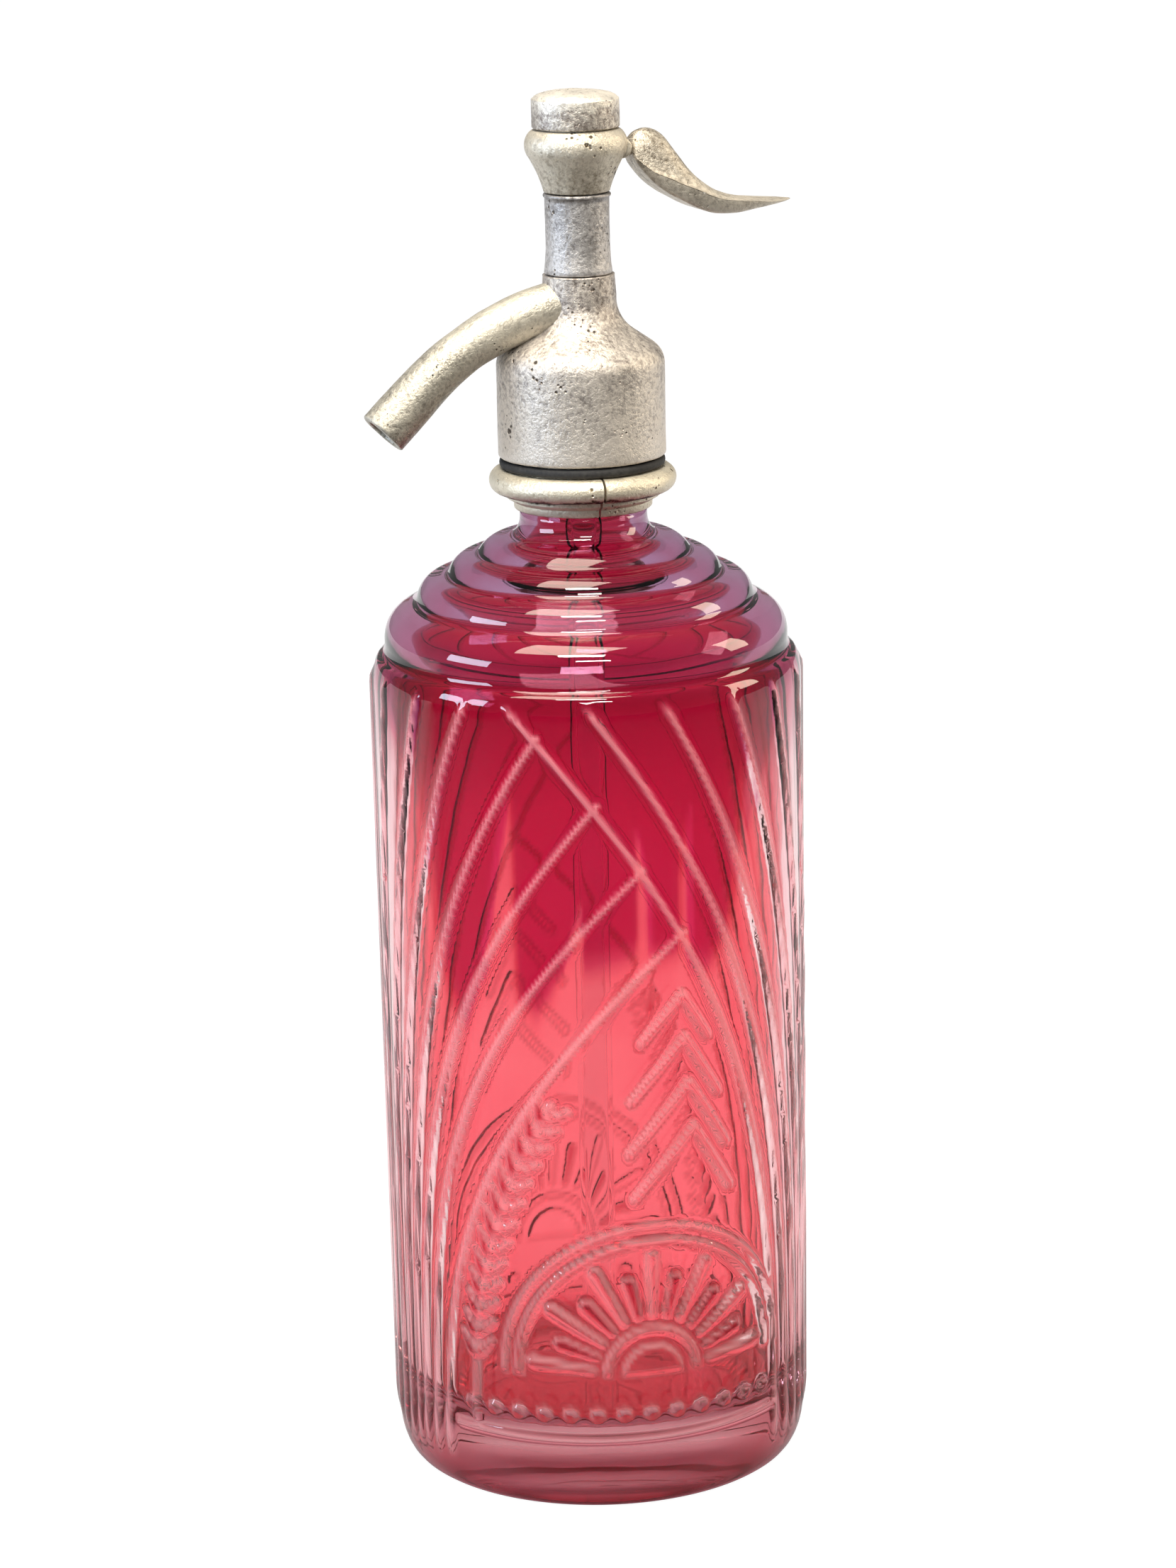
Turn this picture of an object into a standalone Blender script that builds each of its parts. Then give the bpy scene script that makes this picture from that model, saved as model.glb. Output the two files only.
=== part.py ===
"""Soda siphon: a pressed-glass bottle with a cast pewter lever head.

Metres, +Z up. The origin is the centre of the base on the bottle's axis. The spout points to -X and the lever to +X.
Every height is added up from the base, so a longer piece lifts all that stands on it.
"""

import math

import bmesh
import bpy
from mathutils import Matrix, Vector

MM = 0.001

# Fits
FIT_GAP = 0.3 * MM  # between two pieces that meet
RUNNING_GAP = 0.4 * MM  # each side of a piece that moves in a slot
CUT_OVERRUN = 2 * MM  # how far a cutter runs past the face it opens
REACH = 50.5 * MM  # from the axis to the lever's tip, and to the spout's lip

# Bottle
BODY_FOOT_R = 47.5 * MM
BODY_TOP_R = 48.4 * MM
BODY_HEIGHT = 189.8 * MM
BODY_CORNER_DROP = 6 * MM
GLASS_WALL = 4.4 * MM
BASE_RING_R = 43 * MM
BASE_RING_WIDTH = 5 * MM
HEEL_HEIGHT = 10.5 * MM
PUNT_RISE = 5 * MM
FLOOR_GLASS = 13 * MM
FLOOR_CORNER_R = 6.5 * MM
SHOULDER_HEIGHT = 26.6 * MM
NECK_FOOT_R = 17.2 * MM
NECK_TOP_R = 14.3 * MM
NECK_FLARE_HEIGHT = 5.8 * MM
GRIP_R = 13 * MM
GRIP_HEIGHT = 10.5 * MM
LIP_R = 14.6 * MM
LIP_HEIGHT = 5 * MM
LIP_ROUND = 1.2 * MM
MOUTH_BORE_R = 9.5 * MM
ROLL_NOTCH_SHARES = ((0, 1), (0.22, 0.85), (0.44, 0.67), (0.67, 0.445), (0.9, 0.03))
ROLL_RISE_SHARES = (0.14, 0.19, 0.225, 0.23)
CREASE_LEDGE_SHARE = 0.35
INNER_SHOULDER_SHARES = (
    (1, 0), (0.985, 0.08), (0.9, 0.19), (0.72, 0.42), (0.47, 0.6), (0.22, 0.715), (0.09, 0.82), (0, 1),
)
# The pressed ribs cross like the leaves of a palm over each of the two panels. For each rib: its turn at the top and at
# the foot from the panel's middle, over half a turn, its top over the height that ribs have, and how sharply it bends.
PANEL_TURN = math.radians(-110)
RIB_RISE = 0.9 * MM
RIB_ROOT_DEPTH = 0.9 * MM  # how deep a rib is rooted in the wall
RIB_ROOT_WIDTH = 4.6 * MM
RIB_STEPS = 5
RIB_CROWDING_POWER = 0.7  # crowds a rib's points towards its top, where it bends most
RIB_FADE_SHARE = 0.04  # of a rib's height, where it rises out of the wall
RIB_PATH_SHARES = (
    (-0.139, 0.311, 1, 2.5), (-0.017, 0.344, 1, 2.5), (0.1, 0.378, 1, 2.5), (0.217, 0.411, 1, 2.5),
    (0.317, 0.444, 1, 2.5), (0.411, 0.478, 1, 2.5), (-0.075, -0.339, 0.949, 2.9), (0.01, -0.317, 0.863, 2.8),
    (0.074, -0.289, 0.779, 2.8), (0.136, -0.261, 0.698, 2.4), (-0.178, -0.367, 1, 2.9), (-0.278, -0.4, 1, 2.9),
    (-0.378, -0.439, 1, 2.9), (-0.478, -0.478, 1, 2.9),
)
SHOULDER_Z = BODY_HEIGHT
NECK_Z = SHOULDER_Z + SHOULDER_HEIGHT
GRIP_Z = NECK_Z + NECK_FLARE_HEIGHT
LIP_Z = GRIP_Z + GRIP_HEIGHT
MOUTH_Z = LIP_Z + LIP_HEIGHT
FLOOR_Z = PUNT_RISE + FLOOR_GLASS

# Split collar round the neck
COLLAR_FOOT_R = 15.5 * MM
COLLAR_FOOT_HEIGHT = 1.7 * MM
COLLAR_STEP_R = 17.3 * MM
COLLAR_STEP_HEIGHT = 3.7 * MM
COLLAR_BEAD_R = 21 * MM
COLLAR_BEAD_ROUND = 2.7 * MM
COLLAR_SHELF_HEIGHT = 9.1 * MM
COLLAR_SLEEVE_WALL = 1.8 * MM
COLLAR_HEIGHT = 20.5 * MM
COLLAR_SPLIT_GAP = 0.5 * MM
COLLAR_SPLIT_TURN = math.radians(-6.4)
COLLAR_Z = GRIP_Z + FIT_GAP
COLLAR_THREAD_R = LIP_R + FIT_GAP + COLLAR_SLEEVE_WALL
COLLAR_SHELF_Z = COLLAR_Z + COLLAR_SHELF_HEIGHT
COLLAR_TOP_Z = COLLAR_Z + COLLAR_HEIGHT

# Rubber seals
SEAL_THICKNESS = 2 * MM
SEAL_RECESS = 0.2 * MM  # the seal stands this far inside the bell
GASKET_THICKNESS = 2.5 * MM

# Head body: the bell and the lower column
BELL_R = 18.8 * MM
BELL_HEIGHT = 20.3 * MM
BELL_ROUND = 5.5 * MM
BELL_FOOT_ROUND = 0.6 * MM
COLUMN_R = 8.3 * MM
COLUMN_TOP_R = 8 * MM
COLUMN_FILLET = 8.5 * MM
BELL_SLOPE = math.radians(55)
THREAD_RELIEF = 2 * MM
SOCKET_R = 8.6 * MM
SOCKET_DEPTH = 14.1 * MM
CHAMBER_R = 5.4 * MM
CHAMBER_HEIGHT = 16.1 * MM
GUIDE_HEIGHT = 2 * MM
PACKING_BOX_R = 4.6 * MM
PACKING_BOX_DEPTH = 11 * MM
SPIGOT_WALL = 1 * MM
SEAM_RISE = 1.6 * MM  # from the guide's top to the seam above
HEAD_Z = COLLAR_SHELF_Z + SEAL_THICKNESS + 2 * FIT_GAP
BOSS_Z = MOUTH_Z + GASKET_THICKNESS + 2 * FIT_GAP
SOCKET_TOP_Z = BOSS_Z + SOCKET_DEPTH
CHAMBER_TOP_Z = SOCKET_TOP_Z + CHAMBER_HEIGHT
GUIDE_TOP_Z = CHAMBER_TOP_Z + GUIDE_HEIGHT
SPIGOT_TOP_Z = GUIDE_TOP_Z + PACKING_BOX_DEPTH
SEAM_Z = GUIDE_TOP_Z + SEAM_RISE
SPIGOT_R = PACKING_BOX_R + SPIGOT_WALL

# Spout
SPOUT_R = 5.5 * MM
SPOUT_BORE_R = 3.8 * MM
SPOUT_PORT_R = 2.5 * MM
SPOUT_SPIGOT_R = 3.4 * MM
SPOUT_PORT_DROP = 4.4 * MM  # from the chamber's top to the spout's centre line at its root
SPOUT_ROOT_X = 6 * MM
SPOUT_PORT_LENGTH = 5 * MM
SPOUT_BEND_R = 59 * MM
SPOUT_START_SLOPE = math.radians(10)
SPOUT_END_SLOPE = math.radians(44)
SPOUT_SWELL_SHARES = ((0, 1.05), (0.3, 0.99), (0.55, 0.93), (0.8, 0.98), (1, 1.02))
SPOUT_Z = CHAMBER_TOP_Z - SPOUT_PORT_DROP + SPOUT_ROOT_X * math.tan(SPOUT_START_SLOPE)

# Valve
SEAT_THICKNESS = 3.7 * MM
SEAT_BORE_R = 3 * MM
SEAT_LIP_WIDTH = 1 * MM
SEAT_LIP_HEIGHT = 0.8 * MM
RUBBER_THICKNESS = 2.5 * MM
RUBBER_R = 4.4 * MM
STEM_R = 2 * MM
STEM_FOOT_R = 4.6 * MM
STEM_FOOT_HEIGHT = 3.9 * MM
STEM_FOOT_TAPER = 2.3 * MM
SCREW_R = 1.2 * MM
SCREW_HEAD_R = 2.4 * MM
SCREW_HEAD_HEIGHT = 1 * MM
SCREW_BITE = 2.4 * MM
PACKING_HEIGHT = 4 * MM
GLAND_FLANGE_HEIGHT = 2 * MM
SEAT_Z = SOCKET_TOP_Z - FIT_GAP - SEAT_THICKNESS
RUBBER_Z = SOCKET_TOP_Z - FIT_GAP + SEAT_LIP_HEIGHT + FIT_GAP
STEM_Z = RUBBER_Z + RUBBER_THICKNESS + FIT_GAP
PACKING_Z = GUIDE_TOP_Z + FIT_GAP
GLAND_Z = PACKING_Z + PACKING_HEIGHT + FIT_GAP

# Dip tube and what holds it
TUBE_R = 4 * MM
TUBE_WALL = 1.3 * MM
TUBE_FOOT_GAP = 5 * MM  # from the bottle's floor to the tube's foot
BUSH_HEIGHT = 4 * MM
NUT_FOOT_R = 7.4 * MM
NUT_FOOT_HEIGHT = 2 * MM
BUSH_Z = SEAT_Z - FIT_GAP - BUSH_HEIGHT
NUT_Z = BOSS_Z - NUT_FOOT_HEIGHT

# Upper column
SLEEVE_HEIGHT = 17.7 * MM
SLEEVE_FOOT_R = 7.6 * MM
SLEEVE_WAIST_R = 7.1 * MM
SLEEVE_TOP_R = 7.3 * MM
SLEEVE_WAIST_SHARES = ((0, 0), (0.12, 0.5), (0.3, 0.9), (0.6, 1))
SLEEVE_Z = SEAM_Z + FIT_GAP

# Lever housing
HOUSING_FOOT_R = 7.35 * MM
HOUSING_FLARE_R = 10.3 * MM
HOUSING_FLARE_HEIGHT = 7.3 * MM
HOUSING_FLARE_POWER = 1.3
HOUSING_BEAD_R = 11.4 * MM
HOUSING_BEAD_ROUND = 2.7 * MM
HOUSING_BEAD_RISE = 3.5 * MM
HOUSING_HEIGHT = 13.8 * MM
HOUSING_FLOOR = 3 * MM
HOUSING_BORE_R = 6.6 * MM
HOUSING_SPIGOT_DEPTH = 4 * MM
CAP_SPIGOT_R = 8.3 * MM
CAP_SPIGOT_HEIGHT = 4.6 * MM
HOUSING_Z = SLEEVE_Z + SLEEVE_HEIGHT + FIT_GAP
HOUSING_SHOULDER_Z = HOUSING_Z + HOUSING_HEIGHT

# Lever and its hinge
PIVOT_X = 9.6 * MM
PIVOT_RISE = 9.2 * MM  # above the housing's foot
EAR_R = 2.3 * MM
EAR_WIDTH = 7.6 * MM
EAR_ROOT = 2.3 * MM
PIN_R = 0.9 * MM
BLADE_WIDTH = 3.6 * MM
KNUCKLE_R = 2.05 * MM
NOSE_R = 1.6 * MM
BLADE_SHARE = 0.75  # of the nose, at the block's side
NECK_SHARE = 0.9  # of the knuckle, where the blade enters the shank
NECK_REACH = 5.2 * MM
SHANK_GAP = 0.4 * MM  # between the ear and the shank
LEVER_DEPTH = 15.7 * MM
LEVER_HALF_WIDTH = 7 * MM
LEVER_FLOOR_SHARE = 0.78
LEVER_DOME_STEPS = 8
# Along the shank, then floor, edge and crown of the section over the lever's depth, and its half width
LEVER_STATION_SHARES = (
    (0, -0.127, -0.097, 0.108, 0.47),
    (0.034, -0.283, -0.205, 0.198, 0.6),
    (0.11, -0.497, -0.351, 0.242, 0.74),
    (0.196, -0.663, -0.448, 0.153, 0.83),
    (0.28, -0.78, -0.546, -0.108, 0.9),
    (0.359, -0.885, -0.625, -0.357, 0.957),
    (0.437, -0.96, -0.716, -0.542, 0.986),
    (0.516, -0.992, -0.78, -0.675, 1),
    (0.62, -0.994, -0.819, -0.771, 1),
    (0.725, -0.965, -0.846, -0.828, 0.93),
    (0.83, -0.931, -0.869, -0.857, 0.786),
    (0.935, -0.903, -0.879, -0.872, 0.514),
    (1, -0.892, -0.885, -0.882, 0.143),
)
PIVOT_Z = HOUSING_Z + PIVOT_RISE
SLOT_WIDTH = BLADE_WIDTH + 2 * RUNNING_GAP

# Lift block, spring and cap
BLOCK_R = 4.4 * MM
BLOCK_CROWN = 1.5 * MM
BLOCK_WEB = 2.6 * MM
WINDOW_DROP = 2.8 * MM  # from the pivot's height to the window's sill
NIPPLE_R = 2.6 * MM
NIPPLE_HEIGHT = 1.5 * MM
SPRING_R = 3.6 * MM
SPRING_WIRE_R = 0.4 * MM
SPRING_TURNS = 3.5
SPRING_POINTS_A_TURN = 10
WASHER_THICKNESS = 0.7 * MM
CAP_R = 9.7 * MM
CAP_CROWN = 0.8 * MM
CAP_DOME_RISE = 1.8 * MM
CAP_EDGE_ROUND = 0.4 * MM
WINDOW_TOP_Z = PIVOT_Z + NOSE_R + FIT_GAP
WINDOW_SILL_Z = PIVOT_Z - WINDOW_DROP
BLOCK_Z = WINDOW_SILL_Z - BLOCK_WEB
BLOCK_TOP_Z = WINDOW_TOP_Z + BLOCK_CROWN
STEM_TOP_Z = WINDOW_SILL_Z - FIT_GAP
CAP_Z = HOUSING_SHOULDER_Z + FIT_GAP
CAP_CEILING_Z = HOUSING_SHOULDER_Z + CAP_SPIGOT_HEIGHT + WASHER_THICKNESS + 2 * FIT_GAP

# Facets round each kind of turned piece
BOTTLE_SEGMENTS = 36
HEAD_SEGMENTS = 24
INNER_SEGMENTS = 16
SPOUT_BEVEL_STEPS = 4
ROLL_STEPS = 3
ARC_STEPS = 5


def clear_scene():
    for obj in list(bpy.data.objects):
        bpy.data.objects.remove(obj, do_unlink=True)


def make_collection(name):
    collection = bpy.data.collections.new(name)
    bpy.context.scene.collection.children.link(collection)
    return collection


def make_material(name, colour, roughness, metallic=0.0, transmission=0.0):
    material = bpy.data.materials.new(name)
    material.use_nodes = True
    shader = material.node_tree.nodes["Principled BSDF"]
    shader.inputs["Base Color"].default_value = (*colour, 1.0)
    shader.inputs["Roughness"].default_value = roughness
    shader.inputs["Metallic"].default_value = metallic
    shader.inputs["Transmission Weight"].default_value = transmission
    return material


clear_scene()
SIPHON = make_collection("soda_siphon")
CUTTERS = make_collection("cutters")
CRIMSON_GLASS = make_material("crimson_glass", (0.55, 0.03, 0.08), 0.05, transmission=0.9)
CLEAR_GLASS = make_material("clear_glass", (0.85, 0.9, 0.88), 0.05, transmission=0.9)
PEWTER = make_material("pewter", (0.46, 0.44, 0.4), 0.45, metallic=0.9)
PALE_PEWTER = make_material("pale_pewter", (0.6, 0.56, 0.46), 0.5, metallic=0.8)
BRASS = make_material("brass", (0.7, 0.52, 0.25), 0.35, metallic=1.0)
STEEL = make_material("spring_steel", (0.5, 0.5, 0.5), 0.35, metallic=1.0)
RUBBER = make_material("black_rubber", (0.02, 0.02, 0.02), 0.8)
FIBRE = make_material("packing_fibre", (0.3, 0.22, 0.14), 0.9)


def add_empty(name, place, parent=None):
    empty = bpy.data.objects.new(name, None)
    SIPHON.objects.link(empty)
    empty.parent = parent
    empty.location = place
    return empty


ASSEMBLY = add_empty("siphon_base", (0, 0, 0))
LEVER_AXIS = add_empty("lever_axis", (PIVOT_X, 0, PIVOT_Z), ASSEMBLY)


def add_object(name, mesh, material, place=(0, 0, 0), parent=ASSEMBLY):
    """A visible piece of the siphon."""
    obj = bpy.data.objects.new(name, mesh)
    SIPHON.objects.link(obj)
    mesh.materials.append(material)
    obj.parent = parent
    obj.location = place
    return obj


def as_cutter(obj):
    """Hides an object that only cuts or joins, and moves it to the cutters."""
    for collection in list(obj.users_collection):
        collection.objects.unlink(obj)
    CUTTERS.objects.link(obj)
    obj.hide_render = True
    obj.display_type = "WIRE"
    return obj


def combine(obj, other, operation="DIFFERENCE"):
    modifier = obj.modifiers.new(f"{operation.lower()} {other.name}", "BOOLEAN")
    modifier.operation = operation
    modifier.object = other
    return obj


def turned(name, profile, material, closed=True, place_z=0.0, segments=INNER_SEGMENTS):
    """A turned piece: (radius, height) points, down the outer side first, spun about Z."""
    mesh = bpy.data.meshes.new(name)
    points = [(radius, 0, height) for radius, height in profile]
    edges = [(i, i + 1) for i in range(len(points) - 1)]
    if closed:
        edges.append((len(points) - 1, 0))
    mesh.from_pydata(points, edges, [])
    obj = add_object(name, mesh, material, (0, 0, place_z))
    screw = obj.modifiers.new("turn", "SCREW")
    screw.steps = screw.render_steps = segments
    screw.use_merge_vertices = True
    screw.merge_threshold = 0.01 * MM
    screw.use_smooth_shade = True
    return obj


def ring(name, inner_r, outer_r, height, material, place_z, segments=INNER_SEGMENTS):
    profile = [(outer_r, height), (outer_r, 0), (inner_r, 0), (inner_r, height)]
    return turned(name, profile, material, place_z=place_z, segments=segments)


def primitive(name, builder, place, turn=None, **sizes):
    """A cutter made with one of bmesh's primitive operators."""
    shape = bmesh.new()
    builder(shape, **sizes)
    if turn is not None:
        bmesh.ops.transform(shape, matrix=turn, verts=shape.verts)
    mesh = bpy.data.meshes.new(name)
    shape.to_mesh(mesh)
    shape.free()
    obj = add_object(name, mesh, PEWTER, place)
    return as_cutter(obj)


def cylinder_cutter(name, radius, length, place, turn=None, segments=INNER_SEGMENTS):
    return primitive(
        name, bmesh.ops.create_cone, place, turn,
        cap_ends=True, segments=segments, radius1=radius, radius2=radius, depth=length,
    )


def box_cutter(name, low, high, turn=None):
    middle = [(a + b) / 2 for a, b in zip(low, high)]
    scale = Matrix.Diagonal([b - a for a, b in zip(low, high)]).to_4x4()
    turn = scale if turn is None else turn @ scale
    return primitive(name, bmesh.ops.create_cube, middle, turn, size=1.0)


def arc(centre_r, centre_z, radius, start, end, steps=ARC_STEPS):
    """Points on a circular arc, angles in radians from +radius towards +height."""
    turns = [start + (end - start) * i / steps for i in range(steps + 1)]
    return [(centre_r + radius * math.cos(a), centre_z + radius * math.sin(a)) for a in turns]


def ellipse_arc(centre_r, centre_z, half_r, half_z, start, end, steps=ARC_STEPS):
    turns = [start + (end - start) * i / steps for i in range(steps + 1)]
    return [(centre_r + half_r * math.cos(a), centre_z + half_z * math.sin(a)) for a in turns]


def swell(start, end, rise, steps):
    """Points of a round swell over the chord from start to end, without its first point."""
    (r0, z0), (r1, z1) = start, end
    length = math.hypot(r1 - r0, z1 - z0)
    normal = ((z0 - z1) / length, (r1 - r0) / length)
    points = []
    for i in range(1, steps + 2):
        t = i / (steps + 1)
        lift = rise * 4 * t * (1 - t)
        points.append((r0 + (r1 - r0) * t + normal[0] * lift, z0 + (z1 - z0) * t + normal[1] * lift))
    return points


def welded_mesh(curve_object):
    """Turns a curve object into a closed mesh object at the same place."""
    bpy.context.view_layer.update()
    graph = bpy.context.evaluated_depsgraph_get()
    mesh = bpy.data.meshes.new_from_object(curve_object.evaluated_get(graph))
    shape = bmesh.new()
    shape.from_mesh(mesh)
    bmesh.ops.remove_doubles(shape, verts=shape.verts, dist=0.001 * MM)
    bmesh.ops.recalc_face_normals(shape, faces=shape.faces)
    shape.to_mesh(mesh)
    shape.free()
    obj = bpy.data.objects.new(curve_object.name, mesh)
    SIPHON.objects.link(obj)
    obj.parent = curve_object.parent
    obj.matrix_world = curve_object.matrix_world
    name = curve_object.name
    bpy.data.objects.remove(curve_object, do_unlink=True)
    obj.name = name
    return obj


def tube(name, path, radius, swell_shares=None, bevel=SPOUT_BEVEL_STEPS):
    """A solid round bar along a path of 3-D points, as a mesh object."""
    curve = bpy.data.curves.new(name, "CURVE")
    curve.dimensions = "3D"
    curve.bevel_depth = radius
    curve.bevel_resolution = bevel
    curve.use_fill_caps = True
    spline = curve.splines.new("POLY")
    spline.points.add(len(path) - 1)
    for i, (point, place) in enumerate(zip(spline.points, path)):
        point.co = (*place, 1)
        point.radius = share_at(swell_shares, i / (len(path) - 1)) if swell_shares else 1.0
    obj = bpy.data.objects.new(name, curve)
    SIPHON.objects.link(obj)
    obj.parent = ASSEMBLY
    return welded_mesh(obj)


def plate(name, outline, thickness):
    """A flat plate standing in the X Z plane, centred on it."""
    curve = bpy.data.curves.new(name, "CURVE")
    curve.dimensions = "2D"
    curve.fill_mode = "BOTH"
    curve.extrude = thickness / 2
    spline = curve.splines.new("POLY")
    spline.points.add(len(outline) - 1)
    spline.use_cyclic_u = True
    for point, (x, z) in zip(spline.points, outline):
        point.co = (x, z, 0, 1)
    obj = bpy.data.objects.new(name, curve)
    SIPHON.objects.link(obj)
    obj.parent = LEVER_AXIS
    obj.rotation_euler = (math.pi / 2, 0, 0)
    return welded_mesh(obj)


def share_at(table, along):
    """Reads a table of (place, value) shares between its rows."""
    for (a, low), (b, high) in zip(table, table[1:]):
        if along <= b:
            return low + (high - low) * (along - a) / (b - a)
    return table[-1][1]


def shoulder_point(share_r, share_z):
    return (NECK_FOOT_R + (BODY_TOP_R - NECK_FOOT_R) * share_r, SHOULDER_Z + SHOULDER_HEIGHT * share_z)


def bottle_outside():
    """From the mouth down the neck, over the four rolls and down the body to the middle of the base."""
    points = arc(LIP_R - LIP_ROUND, MOUTH_Z - LIP_ROUND, LIP_ROUND, math.pi / 2, 0, 3)
    points += [(LIP_R, LIP_Z + LIP_ROUND), (LIP_R - LIP_ROUND / 2, LIP_Z), (GRIP_R, LIP_Z)]
    points += [(GRIP_R, GRIP_Z), (NECK_TOP_R, GRIP_Z)]
    points += ellipse_arc(
        NECK_FOOT_R, GRIP_Z - NECK_FLARE_HEIGHT / 4, NECK_FOOT_R - NECK_TOP_R, NECK_FLARE_HEIGHT * 3 / 4,
        math.pi, math.pi * 3 / 2, 4,
    )[:-1]
    notches = [shoulder_point(*shares) for shares in ROLL_NOTCH_SHARES]
    points.append(notches[0])
    for start, end, rise in zip(notches, notches[1:], ROLL_RISE_SHARES):
        points += swell(start, end, rise * math.dist(start, end), ROLL_STEPS)
    crease_r = notches[-1][0] + (BODY_TOP_R - notches[-1][0]) * CREASE_LEDGE_SHARE
    points += ellipse_arc(
        crease_r, BODY_HEIGHT - BODY_CORNER_DROP, BODY_TOP_R - crease_r, BODY_CORNER_DROP, math.pi / 2, 0, 3
    )
    points += ellipse_arc(BASE_RING_R, HEEL_HEIGHT, BODY_FOOT_R - BASE_RING_R, HEEL_HEIGHT, 0, -math.pi / 2)
    ring_inner_r = BASE_RING_R - BASE_RING_WIDTH
    points += ellipse_arc(0, 0, ring_inner_r, PUNT_RISE, 0, math.pi / 2, 4)
    return points


def bottle_inside():
    """From the middle of the floor up to the mouth."""
    foot_r = BODY_FOOT_R - GLASS_WALL
    top_r = BODY_TOP_R - GLASS_WALL
    points = [(0, FLOOR_Z)]
    points += arc(foot_r - FLOOR_CORNER_R, FLOOR_Z + FLOOR_CORNER_R, FLOOR_CORNER_R, -math.pi / 2, 0, 4)
    low_z = BODY_HEIGHT - BODY_CORNER_DROP
    for share_r, share_z in INNER_SHOULDER_SHARES:
        points.append((MOUTH_BORE_R + (top_r - MOUTH_BORE_R) * share_r, low_z + (GRIP_Z - low_z) * share_z))
    points.append((MOUTH_BORE_R, MOUTH_Z))
    return points


def rib_places(path, half):
    """Points along a rib on the body: (turn, radius, height), the ends sunk into the wall."""
    top_turn, foot_turn, top_share, bend = path
    top_z = HEEL_HEIGHT + (BODY_HEIGHT - BODY_CORNER_DROP / 2 - HEEL_HEIGHT) * top_share
    shares = [(i / RIB_STEPS) ** RIB_CROWDING_POWER for i in range(RIB_STEPS + 1)]
    shares = [0, RIB_FADE_SHARE] + shares[1:-1] + [1 - RIB_FADE_SHARE, 1]
    places = []
    for share in shares:
        turn = PANEL_TURN + math.pi * (half + foot_turn + (top_turn - foot_turn) * share**bend)
        height = HEEL_HEIGHT + (top_z - HEEL_HEIGHT) * share
        radius = BODY_FOOT_R + (BODY_TOP_R - BODY_FOOT_R) * (height - HEEL_HEIGHT) / (BODY_HEIGHT - HEEL_HEIGHT)
        rise = -RIB_ROOT_DEPTH / 2 if share in (0, 1) else RIB_RISE
        places.append((turn, radius, rise, height))
    return places


def add_rib(shape, places):
    """One rib: a three-cornered bar, its crest outside and its root in the wall."""
    rows = []
    for i, (turn, radius, rise, height) in enumerate(places):
        before, after = places[max(i - 1, 0)], places[min(i + 1, len(places) - 1)]
        along = Vector(((after[0] - before[0]) * radius, after[3] - before[3])).normalized()
        row = [Vector((math.cos(turn), math.sin(turn), 0)) * (radius + rise) + Vector((0, 0, height))]
        for side in (-1, 1):
            across = side * RIB_ROOT_WIDTH / 2
            root_turn = turn + across * along.y / radius
            root_r = radius - RIB_ROOT_DEPTH
            row.append(Vector((math.cos(root_turn) * root_r, math.sin(root_turn) * root_r, height - across * along.x)))
        rows.append([shape.verts.new(corner) for corner in row])
    for low, high in zip(rows, rows[1:]):
        for i in range(3):
            shape.faces.new((low[i], low[(i + 1) % 3], high[(i + 1) % 3], high[i]))
    shape.faces.new(rows[0])
    shape.faces.new(rows[-1])


def make_bottle():
    profile = bottle_inside() + bottle_outside()
    bottle = turned("bottle", profile, CRIMSON_GLASS, closed=False, segments=BOTTLE_SEGMENTS)
    shape = bmesh.new()
    for half in (0, 1):
        for path in RIB_PATH_SHARES:
            add_rib(shape, rib_places(path, half))
    bmesh.ops.recalc_face_normals(shape, faces=shape.faces)
    mesh = bpy.data.meshes.new("bottle_ribs")
    shape.to_mesh(mesh)
    shape.free()
    ribs = as_cutter(add_object("bottle_ribs", mesh, CRIMSON_GLASS))
    combine(bottle, ribs, "UNION").modifiers[-1].use_self = True
    return bottle


def make_dip_tube():
    foot_z = FLOOR_Z + TUBE_FOOT_GAP
    top_z = BUSH_Z + BUSH_HEIGHT - FIT_GAP
    ring("dip_tube", TUBE_R - TUBE_WALL, TUBE_R, top_z - foot_z, CLEAR_GLASS, foot_z)


def make_tube_holder():
    """The rubber bush round the tube's top and the nut that squeezes it."""
    outer_r = SOCKET_R - FIT_GAP
    ring("tube_bush", TUBE_R + FIT_GAP, outer_r, BUSH_HEIGHT, RUBBER, BUSH_Z)
    height = BUSH_Z - FIT_GAP - NUT_Z
    bore_r = TUBE_R + RUNNING_GAP
    profile = [
        (outer_r, height), (outer_r, NUT_FOOT_HEIGHT), (NUT_FOOT_R, NUT_FOOT_HEIGHT),
        (NUT_FOOT_R, 0), (bore_r, 0), (bore_r, height),
    ]
    turned("tube_nut", profile, BRASS, place_z=NUT_Z)


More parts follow.
